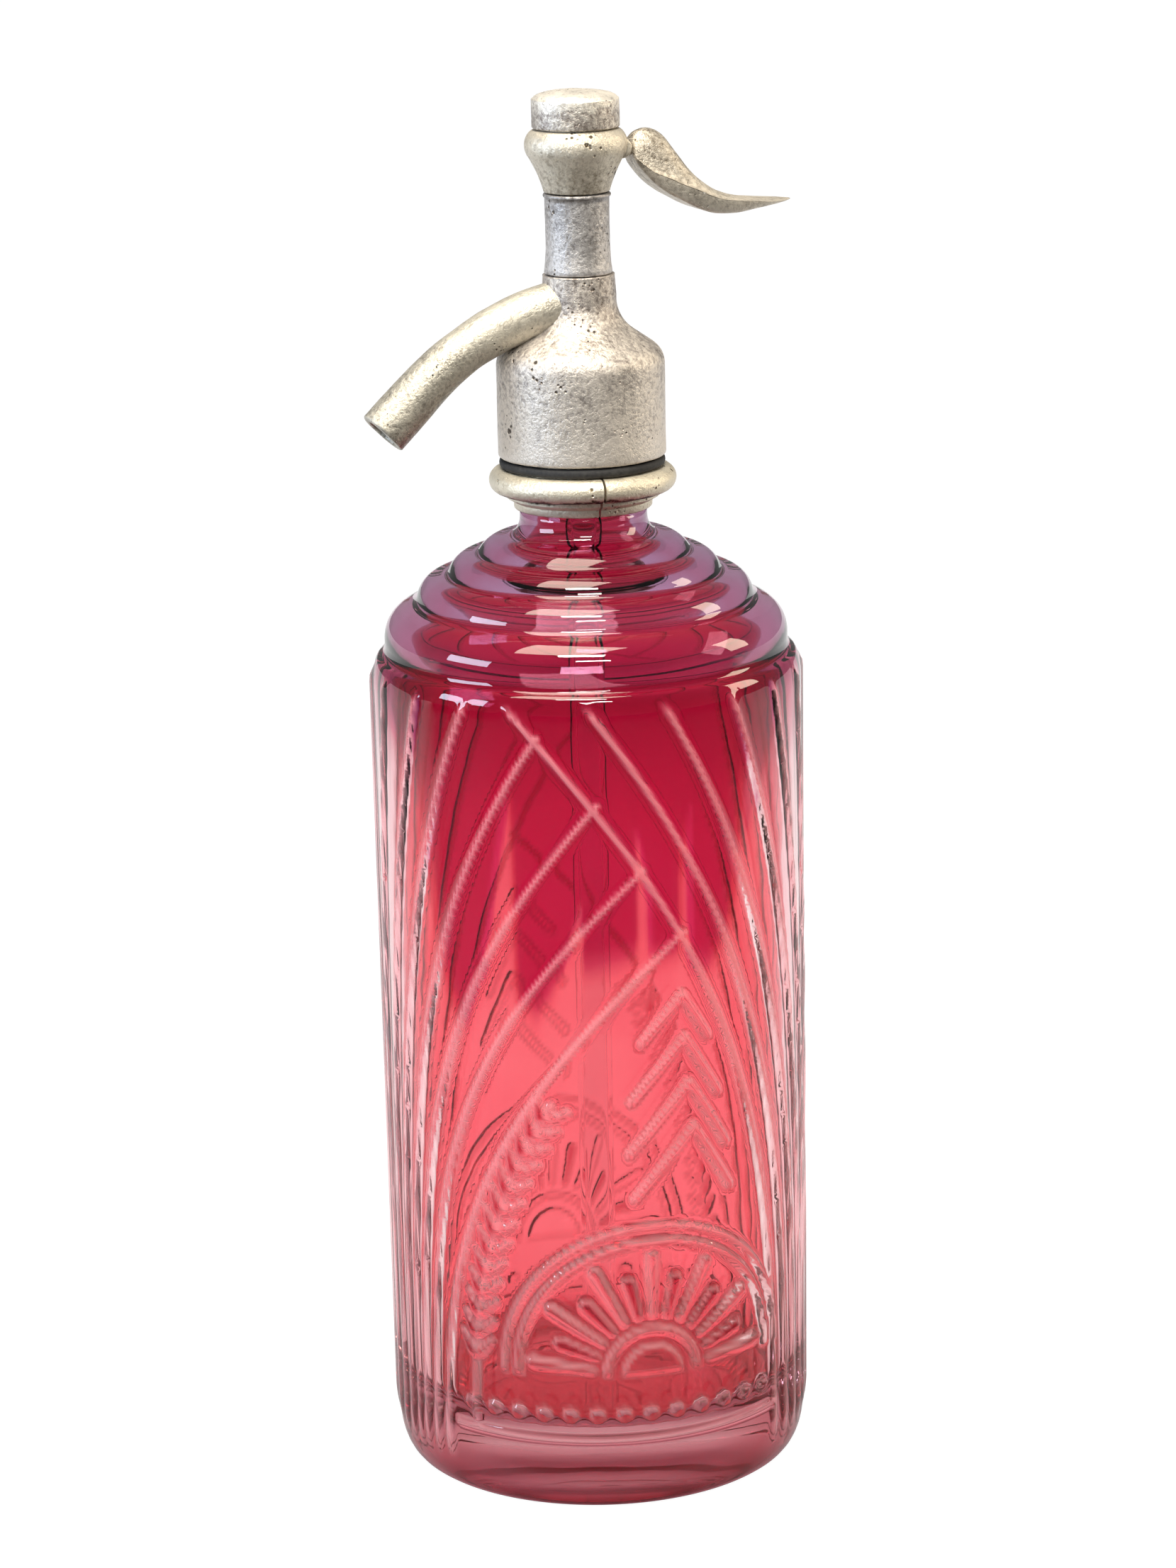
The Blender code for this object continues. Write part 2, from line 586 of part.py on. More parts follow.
def collar_profile():
    """Down the threaded sleeve, the shelf, the bead and the stepped foot, and up the bore."""
    sleeve_bore_r = LIP_R + FIT_GAP
    bore_r = GRIP_R + FIT_GAP
    ledge = GRIP_HEIGHT - 2 * FIT_GAP
    bead_centre_r = COLLAR_BEAD_R - COLLAR_BEAD_ROUND
    bead_centre_z = COLLAR_SHELF_HEIGHT - COLLAR_BEAD_ROUND
    points = [(COLLAR_THREAD_R, COLLAR_HEIGHT), (COLLAR_THREAD_R, COLLAR_SHELF_HEIGHT)]
    points += arc(bead_centre_r, bead_centre_z, COLLAR_BEAD_ROUND, math.pi / 2, -math.pi / 2, 7)
    points += [(COLLAR_STEP_R, COLLAR_STEP_HEIGHT), (COLLAR_STEP_R, (COLLAR_STEP_HEIGHT + COLLAR_FOOT_HEIGHT) / 2)]
    points += [(COLLAR_FOOT_R, COLLAR_FOOT_HEIGHT), (COLLAR_FOOT_R, 0), (bore_r, 0)]
    return points + [(bore_r, ledge), (sleeve_bore_r, ledge), (sleeve_bore_r, COLLAR_HEIGHT)]


def make_collar():
    """Two halves of one turned ring, split on a plane a little off the front."""
    turn = Matrix.Rotation(COLLAR_SPLIT_TURN, 4, "Z")
    span = COLLAR_BEAD_R + CUT_OVERRUN
    for name, side in (("collar_left", 1), ("collar_right", -1)):
        half = turned(name, collar_profile(), PALE_PEWTER, place_z=COLLAR_Z, segments=HEAD_SEGMENTS)
        middle = turn @ Vector((side * (span - COLLAR_SPLIT_GAP) / 2, 0, 0))
        size = Matrix.Diagonal((span, 2 * span, COLLAR_HEIGHT + 2 * CUT_OVERRUN)).to_4x4()
        middle.z = COLLAR_Z + COLLAR_HEIGHT / 2
        cutter = primitive(f"{name}_other_half", bmesh.ops.create_cube, middle, turn @ size, size=1.0)
        combine(half, cutter)


def make_seals():
    ring(
        "collar_seal", COLLAR_THREAD_R + FIT_GAP, BELL_R - SEAL_RECESS, SEAL_THICKNESS, RUBBER,
        COLLAR_SHELF_Z + FIT_GAP, HEAD_SEGMENTS,
    )
    ring("mouth_gasket", MOUTH_BORE_R + FIT_GAP, LIP_R, GASKET_THICKNESS, RUBBER, MOUTH_Z + FIT_GAP)


def head_outside(grow=0.0):
    """Down the lower column, its fillet, the bell's round shoulder and its side. Grown, it cuts what meets it."""
    round_centre_r = BELL_R - BELL_ROUND
    round_centre_z = HEAD_Z + BELL_HEIGHT
    fillet_centre_r = COLUMN_R + COLUMN_FILLET
    shoulder_r = round_centre_r + BELL_ROUND * math.cos(BELL_SLOPE)
    fillet_r = fillet_centre_r - COLUMN_FILLET * math.cos(BELL_SLOPE)
    slope_rise = (shoulder_r - fillet_r) / math.tan(BELL_SLOPE)
    fillet_centre_z = round_centre_z + BELL_ROUND * math.sin(BELL_SLOPE) + slope_rise + COLUMN_FILLET * math.sin(
        BELL_SLOPE
    )
    points = [(COLUMN_TOP_R + grow, SEAM_Z)]
    points += arc(fillet_centre_r, fillet_centre_z, COLUMN_FILLET - grow, math.pi, math.pi + BELL_SLOPE)
    points += arc(round_centre_r, round_centre_z, BELL_ROUND + grow, BELL_SLOPE, 0)
    return points


def make_head_body():
    relief_z = COLLAR_TOP_Z + THREAD_RELIEF
    bore_r = COLLAR_THREAD_R + FIT_GAP
    stem_bore_r = STEM_R + FIT_GAP
    profile = [(SPIGOT_R, SPIGOT_TOP_Z), (SPIGOT_R, SEAM_Z)]
    profile += head_outside()
    profile += [(BELL_R, HEAD_Z + BELL_FOOT_ROUND), (BELL_R - BELL_FOOT_ROUND, HEAD_Z)]
    profile += [(bore_r, HEAD_Z), (bore_r, relief_z), (LIP_R, relief_z), (LIP_R, BOSS_Z)]
    profile += [(SOCKET_R, BOSS_Z), (SOCKET_R, SOCKET_TOP_Z), (CHAMBER_R, SOCKET_TOP_Z)]
    profile += [(CHAMBER_R, CHAMBER_TOP_Z), (stem_bore_r, CHAMBER_TOP_Z), (stem_bore_r, GUIDE_TOP_Z)]
    profile += [(PACKING_BOX_R, GUIDE_TOP_Z), (PACKING_BOX_R, SPIGOT_TOP_Z)]
    head = turned("head_body", profile, PEWTER, segments=HEAD_SEGMENTS)
    path = spout_path(SPOUT_ROOT_X - COLUMN_R / 2, SPOUT_ROOT_X + SPOUT_PORT_LENGTH)
    combine(head, as_cutter(tube("port_hole", path, SPOUT_SPIGOT_R + FIT_GAP)))
    return head


def spout_path(first_x, last_x=None, steps=11):
    """Points of the spout's centre line, from a distance first_x off the axis outwards: straight, bend, straight."""
    start_z = SPOUT_Z
    bend_x = SPOUT_BEND_R * (math.sin(SPOUT_END_SLOPE) - math.sin(SPOUT_START_SLOPE))
    end_x = REACH - SPOUT_R * share_at(SPOUT_SWELL_SHARES, 1) * math.sin(SPOUT_END_SLOPE)
    if last_x is None:
        last_x = end_x
    points = []
    for i in range(steps + 1):
        x = first_x + (last_x - first_x) * i / steps
        along = x - SPOUT_ROOT_X
        if along <= 0:
            drop = along * math.tan(SPOUT_START_SLOPE)
        else:
            slope = math.asin(math.sin(SPOUT_START_SLOPE) + min(along, bend_x) / SPOUT_BEND_R)
            drop = SPOUT_BEND_R * (math.cos(SPOUT_START_SLOPE) - math.cos(slope))
            drop += max(0, along - bend_x) * math.tan(SPOUT_END_SLOPE)
        points.append((-x, 0, start_z - drop))
    return points


def make_spout():
    """A bent tube whose root is cut to the column and whose small spigot enters the port."""
    column_side = COLUMN_R - SPIGOT_WALL
    spout = tube("spout", spout_path(column_side), SPOUT_R, SPOUT_SWELL_SHARES)
    spout.data.materials.clear()
    spout.data.materials.append(PEWTER)
    saddle = turned(
        "spout_saddle", [(0, SEAM_Z)] + head_outside(FIT_GAP) + [(0, HEAD_Z + BELL_HEIGHT)], PEWTER,
        closed=False, segments=HEAD_SEGMENTS,
    )
    combine(spout, as_cutter(saddle))
    root_end = SPOUT_ROOT_X + SPOUT_PORT_LENGTH
    spigot = tube("spout_spigot", spout_path(CHAMBER_R + FIT_GAP, root_end, 2), SPOUT_SPIGOT_R)
    combine(spout, as_cutter(spigot), "UNION")
    port = tube("spout_port", spout_path(CHAMBER_R - CUT_OVERRUN, root_end + SPOUT_PORT_R, 4), SPOUT_PORT_R)
    combine(spout, as_cutter(port))
    bore = tube("spout_bore", spout_path(root_end, REACH + SPOUT_R), SPOUT_BORE_R)
    combine(spout, as_cutter(bore))
    return spout


def make_valve():
    """Seat in the head, and the stem with its rubber and screw."""
    lip_r = SEAT_BORE_R + SEAT_LIP_WIDTH
    lip_top = SEAT_THICKNESS + SEAT_LIP_HEIGHT
    outer_r = SOCKET_R - FIT_GAP
    seat = [
        (lip_r, lip_top), (lip_r, SEAT_THICKNESS), (outer_r, SEAT_THICKNESS),
        (outer_r, 0), (SEAT_BORE_R, 0), (SEAT_BORE_R, lip_top),
    ]
    turned("valve_seat", seat, BRASS, place_z=SEAT_Z)
    hole_r = SCREW_R + FIT_GAP
    ring("valve_rubber", hole_r, RUBBER_R, RUBBER_THICKNESS, RUBBER, RUBBER_Z)
    head_z = RUBBER_Z - FIT_GAP - SCREW_HEAD_HEIGHT
    screw_top = SCREW_HEAD_HEIGHT + RUBBER_THICKNESS + 2 * FIT_GAP + SCREW_BITE
    screw = [(0, screw_top), (SCREW_R, screw_top), (SCREW_R, SCREW_HEAD_HEIGHT)]
    screw += [(SCREW_HEAD_R, SCREW_HEAD_HEIGHT), (SCREW_HEAD_R, 0), (0, 0)]
    turned("rubber_screw", screw, BRASS, closed=False, place_z=head_z)
    hole_depth = SCREW_BITE + FIT_GAP
    length = STEM_TOP_Z - STEM_Z
    stem = [(0, length), (STEM_R, length), (STEM_R, STEM_FOOT_HEIGHT + STEM_FOOT_TAPER)]
    stem += [(STEM_FOOT_R, STEM_FOOT_HEIGHT), (STEM_FOOT_R, 0), (hole_r, 0), (hole_r, hole_depth), (0, hole_depth)]
    turned("valve_stem", stem, BRASS, closed=False, place_z=STEM_Z)


def make_packing():
    bore_r = STEM_R + FIT_GAP
    outer_r = PACKING_BOX_R - FIT_GAP
    ring("stem_packing", bore_r, outer_r, PACKING_HEIGHT, FIBRE, PACKING_Z)
    flange_z = SPIGOT_TOP_Z + FIT_GAP - GLAND_Z
    top = flange_z + GLAND_FLANGE_HEIGHT
    gland = [(SPIGOT_R, top), (SPIGOT_R, flange_z), (outer_r, flange_z), (outer_r, 0), (bore_r, 0), (bore_r, top)]
    turned("packing_gland", gland, BRASS, place_z=GLAND_Z)


def make_column_sleeve():
    """The upper column: a thin tube, slightly waisted, over the head's spigot."""
    bore_r = SPIGOT_R + FIT_GAP
    profile = [(SLEEVE_TOP_R, SLEEVE_HEIGHT)]
    for along, share in reversed(SLEEVE_WAIST_SHARES):
        profile.append((SLEEVE_FOOT_R + (SLEEVE_WAIST_R - SLEEVE_FOOT_R) * share, SLEEVE_HEIGHT * along))
    profile += [(bore_r, 0), (bore_r, SLEEVE_HEIGHT)]
    turned("column_sleeve", profile, PEWTER, place_z=SLEEVE_Z, segments=HEAD_SEGMENTS)


def make_lever_housing():
    """Flared cup with a round band, a slotted ear for the lever and a spigot for the cap."""
    spigot_top = HOUSING_HEIGHT + CAP_SPIGOT_HEIGHT
    bead_centre_r = HOUSING_BEAD_R - HOUSING_BEAD_ROUND
    bead_centre_z = HOUSING_HEIGHT - HOUSING_BEAD_RISE
    stem_bore_r = STEM_R + 2 * FIT_GAP
    profile = [(CAP_SPIGOT_R, spigot_top), (CAP_SPIGOT_R, HOUSING_HEIGHT)]
    profile += ellipse_arc(
        bead_centre_r, bead_centre_z, HOUSING_BEAD_ROUND, HOUSING_BEAD_RISE, math.pi / 2, -math.pi / 4, 6
    )
    for i in range(ARC_STEPS, -1, -1):
        share = i / ARC_STEPS
        radius = HOUSING_FOOT_R + (HOUSING_FLARE_R - HOUSING_FOOT_R) * share**HOUSING_FLARE_POWER
        profile.append((radius, HOUSING_FLARE_HEIGHT * share))
    profile += [(SPIGOT_R, 0), (SPIGOT_R, -HOUSING_SPIGOT_DEPTH), (stem_bore_r, -HOUSING_SPIGOT_DEPTH)]
    profile += [(stem_bore_r, HOUSING_FLOOR), (HOUSING_BORE_R, HOUSING_FLOOR), (HOUSING_BORE_R, spigot_top)]
    housing = turned("lever_housing", profile, PEWTER, place_z=HOUSING_Z, segments=HEAD_SEGMENTS)
    across = Matrix.Rotation(math.pi / 2, 4, "X")
    pivot = (PIVOT_X, 0, PIVOT_Z)
    combine(housing, cylinder_cutter("ear_end", EAR_R, EAR_WIDTH, pivot, across), "UNION")
    root_low = (PIVOT_X - EAR_ROOT, -EAR_WIDTH / 2, PIVOT_Z - EAR_R)
    root_high = (PIVOT_X, EAR_WIDTH / 2, PIVOT_Z + EAR_R)
    combine(housing, box_cutter("ear_root", root_low, root_high), "UNION")
    slot_low = (HOUSING_BORE_R - CUT_OVERRUN, -SLOT_WIDTH / 2, PIVOT_Z - EAR_R - RUNNING_GAP / 2)
    slot_high = (PIVOT_X + EAR_R + CUT_OVERRUN, SLOT_WIDTH / 2, PIVOT_Z + EAR_R + RUNNING_GAP / 2)
    combine(housing, box_cutter("lever_slot", slot_low, slot_high))
    hole_length = EAR_WIDTH + 2 * CUT_OVERRUN
    combine(housing, cylinder_cutter("ear_hole", PIN_R + FIT_GAP, hole_length, pivot, across))
    return housing


def make_lever_pin():
    """The hinge pin, a short way inside the ear's cheeks."""
    shape = bmesh.new()
    bmesh.ops.create_cone(
        shape, cap_ends=True, segments=INNER_SEGMENTS, radius1=PIN_R, radius2=PIN_R, depth=EAR_WIDTH - 2 * FIT_GAP
    )
    bmesh.ops.rotate(shape, matrix=Matrix.Rotation(math.pi / 2, 3, "X"), verts=shape.verts)
    mesh = bpy.data.meshes.new("lever_pin")
    shape.to_mesh(mesh)
    shape.free()
    add_object("lever_pin", mesh, STEEL, parent=LEVER_AXIS)


def blade_outline():
    """The lever's flat inner part seen from the side, about the pivot: nose, blade, knuckle and neck."""
    nose_x = -PIVOT_X
    blade_half = NOSE_R * BLADE_SHARE
    neck_half = KNUCKLE_R * NECK_SHARE
    lean = math.acos(BLADE_SHARE)
    open_angle = math.pi / 3
    points = arc(0, 0, KNUCKLE_R, open_angle, math.pi - open_angle, 4)
    points.append((nose_x + BLOCK_R, blade_half))
    points += arc(nose_x, 0, NOSE_R, lean, math.tau - lean, 8)
    points.append((nose_x + BLOCK_R, -blade_half))
    points += arc(0, 0, KNUCKLE_R, math.pi + open_angle, math.tau - open_angle, 4)
    return points + [(NECK_REACH, -neck_half), (NECK_REACH, neck_half)]


def lever_section(station):
    """One closed ring of points of the shank: flat floor, low sides and a domed top."""
    along, floor, edge, crown, half_width = station
    shank_x = EAR_R + SHANK_GAP
    x = shank_x + (REACH - PIVOT_X - shank_x) * along
    floor_z, edge_z, crown_z = (LEVER_DEPTH * share for share in (floor, edge, crown))
    half = LEVER_HALF_WIDTH * half_width
    ring_points = [(x, half * LEVER_FLOOR_SHARE, floor_z)]
    for i in range(LEVER_DOME_STEPS + 1):
        a = math.pi * i / LEVER_DOME_STEPS
        ring_points.append((x, half * math.cos(a), edge_z + (crown_z - edge_z) * math.sin(a)))
    return ring_points + [(x, -half * LEVER_FLOOR_SHARE, floor_z)]


def make_lever():
    """Shank and duck tail lofted through stations, with the blade joined on and the pin's hole cut."""
    shape = bmesh.new()
    rings = [[shape.verts.new(p) for p in lever_section(s)] for s in LEVER_STATION_SHARES]
    count = len(rings[0])
    for near, far in zip(rings, rings[1:]):
        for i in range(count):
            j = (i + 1) % count
            shape.faces.new((near[i], near[j], far[j], far[i]))
    shape.faces.new(rings[0])
    shape.faces.new(reversed(rings[-1]))
    bmesh.ops.recalc_face_normals(shape, faces=shape.faces)
    mesh = bpy.data.meshes.new("lever")
    shape.to_mesh(mesh)
    shape.free()
    mesh.shade_smooth()
    lever = add_object("lever", mesh, PEWTER, parent=LEVER_AXIS)
    combine(lever, as_cutter(plate("lever_blade", blade_outline(), BLADE_WIDTH)), "UNION")
    across = Matrix.Rotation(math.pi / 2, 4, "X")
    pivot = (PIVOT_X, 0, PIVOT_Z)
    hole = cylinder_cutter("lever_hole", PIN_R + FIT_GAP, BLADE_WIDTH + 2 * CUT_OVERRUN, pivot, across)
    combine(lever, hole)


def make_lift_block():
    """A spool on the stem's top, with a window for the lever's nose and a nipple for the spring."""
    top = BLOCK_TOP_Z - BLOCK_Z
    hole_r = STEM_R + FIT_GAP
    profile = [(0, top + NIPPLE_HEIGHT), (NIPPLE_R, top + NIPPLE_HEIGHT), (NIPPLE_R, top), (BLOCK_R, top)]
    profile += [(BLOCK_R, 0), (hole_r, 0), (hole_r, BLOCK_WEB + FIT_GAP), (0, BLOCK_WEB + FIT_GAP)]
    block = turned("lift_block", profile, BRASS, closed=False, place_z=BLOCK_Z)
    half_window = BLADE_WIDTH / 2 + FIT_GAP
    low = (-BLOCK_R - CUT_OVERRUN, -half_window, WINDOW_SILL_Z)
    high = (BLOCK_R + CUT_OVERRUN, half_window, WINDOW_TOP_Z)
    combine(block, box_cutter("block_window", low, high))


def make_valve_spring():
    low_z = BLOCK_TOP_Z + FIT_GAP + SPRING_WIRE_R
    high_z = CAP_CEILING_Z - FIT_GAP - SPRING_WIRE_R
    count = round(SPRING_TURNS * SPRING_POINTS_A_TURN)
    path = []
    for i in range(count + 1):
        turn = math.tau * i / SPRING_POINTS_A_TURN
        path.append((SPRING_R * math.cos(turn), SPRING_R * math.sin(turn), low_z + (high_z - low_z) * i / count))
    spring = tube("valve_spring", path, SPRING_WIRE_R, bevel=1)
    spring.data.materials.append(STEEL)


def make_cap():
    """A female screw cap with a low dome, and the thin washer on the housing's spigot."""
    washer_z = HOUSING_SHOULDER_Z + CAP_SPIGOT_HEIGHT + FIT_GAP
    ring("cap_washer", HOUSING_BORE_R + FIT_GAP, CAP_SPIGOT_R, WASHER_THICKNESS, FIBRE, washer_z)
    ceiling = CAP_CEILING_Z - CAP_Z
    rim = ceiling + CAP_CROWN
    bore_r = CAP_SPIGOT_R + FIT_GAP
    profile = ellipse_arc(0, rim, CAP_R - CAP_EDGE_ROUND, CAP_DOME_RISE, math.pi / 2, 0, 4)
    profile += [(CAP_R, rim - CAP_EDGE_ROUND), (CAP_R, 0), (bore_r, 0), (bore_r, ceiling), (0, ceiling)]
    turned("cap", profile, PEWTER, closed=False, place_z=CAP_Z, segments=HEAD_SEGMENTS)


make_bottle()
make_dip_tube()
make_tube_holder()
make_collar()
make_seals()
make_head_body()
make_spout()
make_valve()
make_packing()
make_column_sleeve()
make_lever_housing()
make_lever_pin()
make_lever()
make_lift_block()
make_valve_spring()
make_cap()
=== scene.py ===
"""How the soda siphon looks: pressed crimson glass under a cast pewter head.

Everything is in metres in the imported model's frame: +Z up from the base, the spout to -X and the lever to +X.
"""

import math

import bmesh
import bpy
import numpy as np
from mathutils import Matrix, Vector, noise


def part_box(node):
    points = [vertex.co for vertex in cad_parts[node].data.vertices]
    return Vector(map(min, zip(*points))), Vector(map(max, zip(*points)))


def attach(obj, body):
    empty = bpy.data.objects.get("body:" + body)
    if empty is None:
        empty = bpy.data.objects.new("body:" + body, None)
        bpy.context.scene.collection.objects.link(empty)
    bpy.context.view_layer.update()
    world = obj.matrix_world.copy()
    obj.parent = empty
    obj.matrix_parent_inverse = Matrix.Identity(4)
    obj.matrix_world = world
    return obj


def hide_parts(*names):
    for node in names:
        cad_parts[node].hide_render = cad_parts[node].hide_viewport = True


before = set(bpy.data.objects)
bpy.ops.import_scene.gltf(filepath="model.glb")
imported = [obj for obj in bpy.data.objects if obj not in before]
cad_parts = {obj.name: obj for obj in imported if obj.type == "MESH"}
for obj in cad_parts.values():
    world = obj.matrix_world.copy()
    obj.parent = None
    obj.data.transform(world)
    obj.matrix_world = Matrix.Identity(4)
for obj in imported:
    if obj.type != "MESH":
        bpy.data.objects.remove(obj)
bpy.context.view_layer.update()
MM = 0.001


# The bottle
# Pressed soda glass, clear and thick outside with a crimson layer inside that pales to salmon towards the
# foot. A two-part mould left four rolls on the shoulder and the raised ribs and panels on the body.
BOTTLE_TURNS = 320
BODY_ROWS = 172
INNER_ROWS = 26
BODY_FOOT_R = 47.5
BODY_TOP_R = 48.4
BODY_HEIGHT = 189.8
BODY_CORNER_DROP = 6.0
BASE_RING_R = 43.0
BASE_RING_WIDTH = 5.0
HEEL_HEIGHT = 10.5
PUNT_RISE = 5.0
FLOOR_Z = 18.0
FLOOR_CORNER_R = 6.5
GLASS_WALL = 4.4
SHOULDER_HEIGHT = 26.6
NECK_FOOT_R = 17.2
NECK_TOP_R = 14.3
NECK_FLARE = 5.8
GRIP_R = 13.0
GRIP_Z = 222.2
LIP_Z = 232.7
LIP_R = 14.6
MOUTH_Z = 237.7
MOUTH_BORE_R = 9.5
MOUTH_ROUND = 0.6
LIP_ROUND = 1.2
ROLL_NOTCHES = ((0, 1), (0.22, 0.85), (0.44, 0.67), (0.67, 0.445), (0.9, 0.03))
ROLL_RISES = (0.14, 0.19, 0.225, 0.23)
INNER_SHOULDER = (
    (1, 0), (0.985, 0.08), (0.9, 0.19), (0.72, 0.42), (0.47, 0.6), (0.22, 0.715), (0.09, 0.82), (0, 1),
)


def arc_points(centre_r, centre_z, half_r, half_z, start, end, steps):
    turns = [math.radians(start + (end - start) * i / steps) for i in range(steps + 1)]
    return [(centre_r + half_r * math.cos(a), centre_z + half_z * math.sin(a)) for a in turns]


def smooth_through(points, steps):
    """A smooth curve through points of any number of values, with steps between each two."""
    rows = [np.array(p, float) for p in points]
    rows = [2 * rows[0] - rows[1], *rows, 2 * rows[-1] - rows[-2]]
    out = []
    for a, b, c, d in zip(rows, rows[1:], rows[2:], rows[3:]):
        for i in range(steps):
            t = i / steps
            bend, twist = 2 * a - 5 * b + 4 * c - d, 3 * b - a - 3 * c + d
            out.append(0.5 * (2 * b + (c - a) * t + bend * t**2 + twist * t**3))
    return out + [rows[-2]]


def finished_piece(name, shape, sharp_angle=None):
    """Turns a bmesh into a smooth shaded object, with sharp edges from an angle in degrees."""
    mesh = bpy.data.meshes.new(name)
    shape.to_mesh(mesh)
    shape.free()
    mesh.shade_smooth()
    if sharp_angle:
        mesh.set_sharp_from_angle(angle=math.radians(sharp_angle))
    piece = bpy.data.objects.new(name, mesh)
    bpy.context.scene.collection.objects.link(piece)
    return piece


def turned_piece(name, profile, turns):
    """Spins (radius, height) points in millimetres a quarter turn round Z and sets four such quarters
    together. A profile that ends on the axis at both ends, or comes back to its start, closes the piece."""
    shape = bmesh.new()
    line = [shape.verts.new((r * MM, 0, z * MM)) for r, z in profile]
    edges = [shape.edges.new(pair) for pair in zip(line, line[1:])]
    bmesh.ops.spin(
        shape, geom=line + edges, cent=(0, 0, 0), axis=(0, 0, 1), angle=math.pi / 2, steps=turns // 4,
        use_merge=False,
    )
    quarter = shape.verts[:] + shape.edges[:] + shape.faces[:]
    for i in (1, 2, 3):
        copy = bmesh.ops.duplicate(shape, geom=quarter)["geom"]
        corners = [item for item in copy if isinstance(item, bmesh.types.BMVert)]
        quarter_turn = Matrix.Rotation(math.pi / 2 * i, 3, "Z")
        bmesh.ops.rotate(shape, verts=corners, cent=(0, 0, 0), matrix=quarter_turn)
    bmesh.ops.remove_doubles(shape, verts=shape.verts, dist=1e-7)
    bmesh.ops.recalc_face_normals(shape, faces=shape.faces)
    return finished_piece(name, shape)


def shoulder_rolls():
    """Down the shoulder from the neck: each roll is a round swell between two notches."""
    spread = BODY_TOP_R - NECK_FOOT_R
    notches = [(NECK_FOOT_R + spread * r, BODY_HEIGHT + SHOULDER_HEIGHT * z) for r, z in ROLL_NOTCHES]
    points = [notches[0]]
    for (r0, z0), (r1, z1), rise in zip(notches, notches[1:], ROLL_RISES):
        for i in range(1, 10):
            t = i / 9
            lift = rise * 4 * t * (1 - t)
            points.append((r0 + (r1 - r0) * t + (z0 - z1) * lift, z0 + (z1 - z0) * t + (r1 - r0) * lift))
    return points


def bottle_profile():
    inner_r = BODY_TOP_R - GLASS_WALL
    foot_r = BODY_FOOT_R - GLASS_WALL
    low_z = BODY_HEIGHT - BODY_CORNER_DROP
    corner_z = FLOOR_Z + FLOOR_CORNER_R
    inside = [(0, FLOOR_Z), (foot_r / 2, FLOOR_Z)]
    inside += arc_points(foot_r - FLOOR_CORNER_R, corner_z, FLOOR_CORNER_R, FLOOR_CORNER_R, -90, 0, 7)
    inside += [
        (foot_r + (inner_r - foot_r) * i / INNER_ROWS, corner_z + (low_z - corner_z) * i / INNER_ROWS)
        for i in range(1, INNER_ROWS)
    ]
    shoulder = [
        (MOUTH_BORE_R + (inner_r - MOUTH_BORE_R) * r, low_z + (GRIP_Z - low_z) * z) for r, z in INNER_SHOULDER
    ]
    inside += [tuple(p) for p in smooth_through(shoulder, 3)] + [(MOUTH_BORE_R, MOUTH_Z - MOUTH_ROUND)]
    mouth_z = MOUTH_Z - MOUTH_ROUND
    outside = arc_points(MOUTH_BORE_R + MOUTH_ROUND, mouth_z, MOUTH_ROUND, MOUTH_ROUND, 180, 90, 2)
    outside += arc_points(LIP_R - LIP_ROUND, MOUTH_Z - LIP_ROUND, LIP_ROUND, LIP_ROUND, 90, 0, 3)
    outside += [(LIP_R, LIP_Z + LIP_ROUND), (LIP_R - MOUTH_ROUND, LIP_Z), (GRIP_R, LIP_Z)]
    outside += [(GRIP_R, GRIP_Z + MOUTH_ROUND), (NECK_TOP_R, GRIP_Z)]
    flare_r, flare_z = NECK_FOOT_R - NECK_TOP_R, GRIP_Z - NECK_FLARE / 4
    outside += arc_points(NECK_FOOT_R, flare_z, flare_r, NECK_FLARE * 0.75, 180, 270, 7)[:-1]
    rolls = shoulder_rolls()
    crease_r = rolls[-1][0] + (BODY_TOP_R - rolls[-1][0]) * 0.35
    outside += rolls
    outside += arc_points(crease_r, low_z, BODY_TOP_R - crease_r, BODY_CORNER_DROP, 90, 0, 6)
    taper, drop = BODY_FOOT_R - BODY_TOP_R, HEEL_HEIGHT - low_z
    rows = range(1, BODY_ROWS)
    outside += [(BODY_TOP_R + taper * i / BODY_ROWS, low_z + drop * i / BODY_ROWS) for i in rows]
    outside += arc_points(BASE_RING_R, HEEL_HEIGHT, BODY_FOOT_R - BASE_RING_R, HEEL_HEIGHT, 0, -90, 8)
    outside += arc_points(0, 0, BASE_RING_R - BASE_RING_WIDTH, PUNT_RISE, 0, 90, 5)
    return inside + outside


# The ribs run from the crease under the shoulder to the heel. Each is (turn at the top, turn at the foot,
# top height, bend), in degrees from the panel's middle and millimetres.
PANEL_TURN = -110.0
FALLING_RIBS = (
    (-25, 56, 190, 2.5), (-3, 62, 190, 2.5), (18, 68, 190, 2.5),
    (39, 74, 190, 2.5), (57, 80, 190, 2.5), (74, 86, 190, 2.5),
)
RISING_RIBS = (
    (-13.5, -61, 180.5, 2.9), (1.8, -57, 165.4, 2.8), (13.4, -52, 150.2, 2.8), (24.5, -47, 135.6, 2.4),
    (-32, -66, 190, 2.9), (-50, -72, 190, 2.9), (-68, -79, 190, 2.9), (-86, -86, 190, 2.9),
)
RIB_FOOT_Z = 10.0
RIB_HALF_BASE = 1.7
RIB_RISE = 0.82
TURN_MM = math.radians(1) * BODY_TOP_R
FAR = 99.0


def rib_lines():
    """The ribs' middle lines as short straight lines on the unrolled glass."""
    lines = []
    for top_turn, foot_turn, top_z, bend in FALLING_RIBS + RISING_RIBS:
        points = []
        for i in range(49):
            t = i / 48
            turn = foot_turn + (top_turn - foot_turn) * t**bend
            points.append((turn * TURN_MM, RIB_FOOT_Z + (top_z - RIB_FOOT_Z) * t))
        lines += list(zip(points, points[1:]))
    return lines


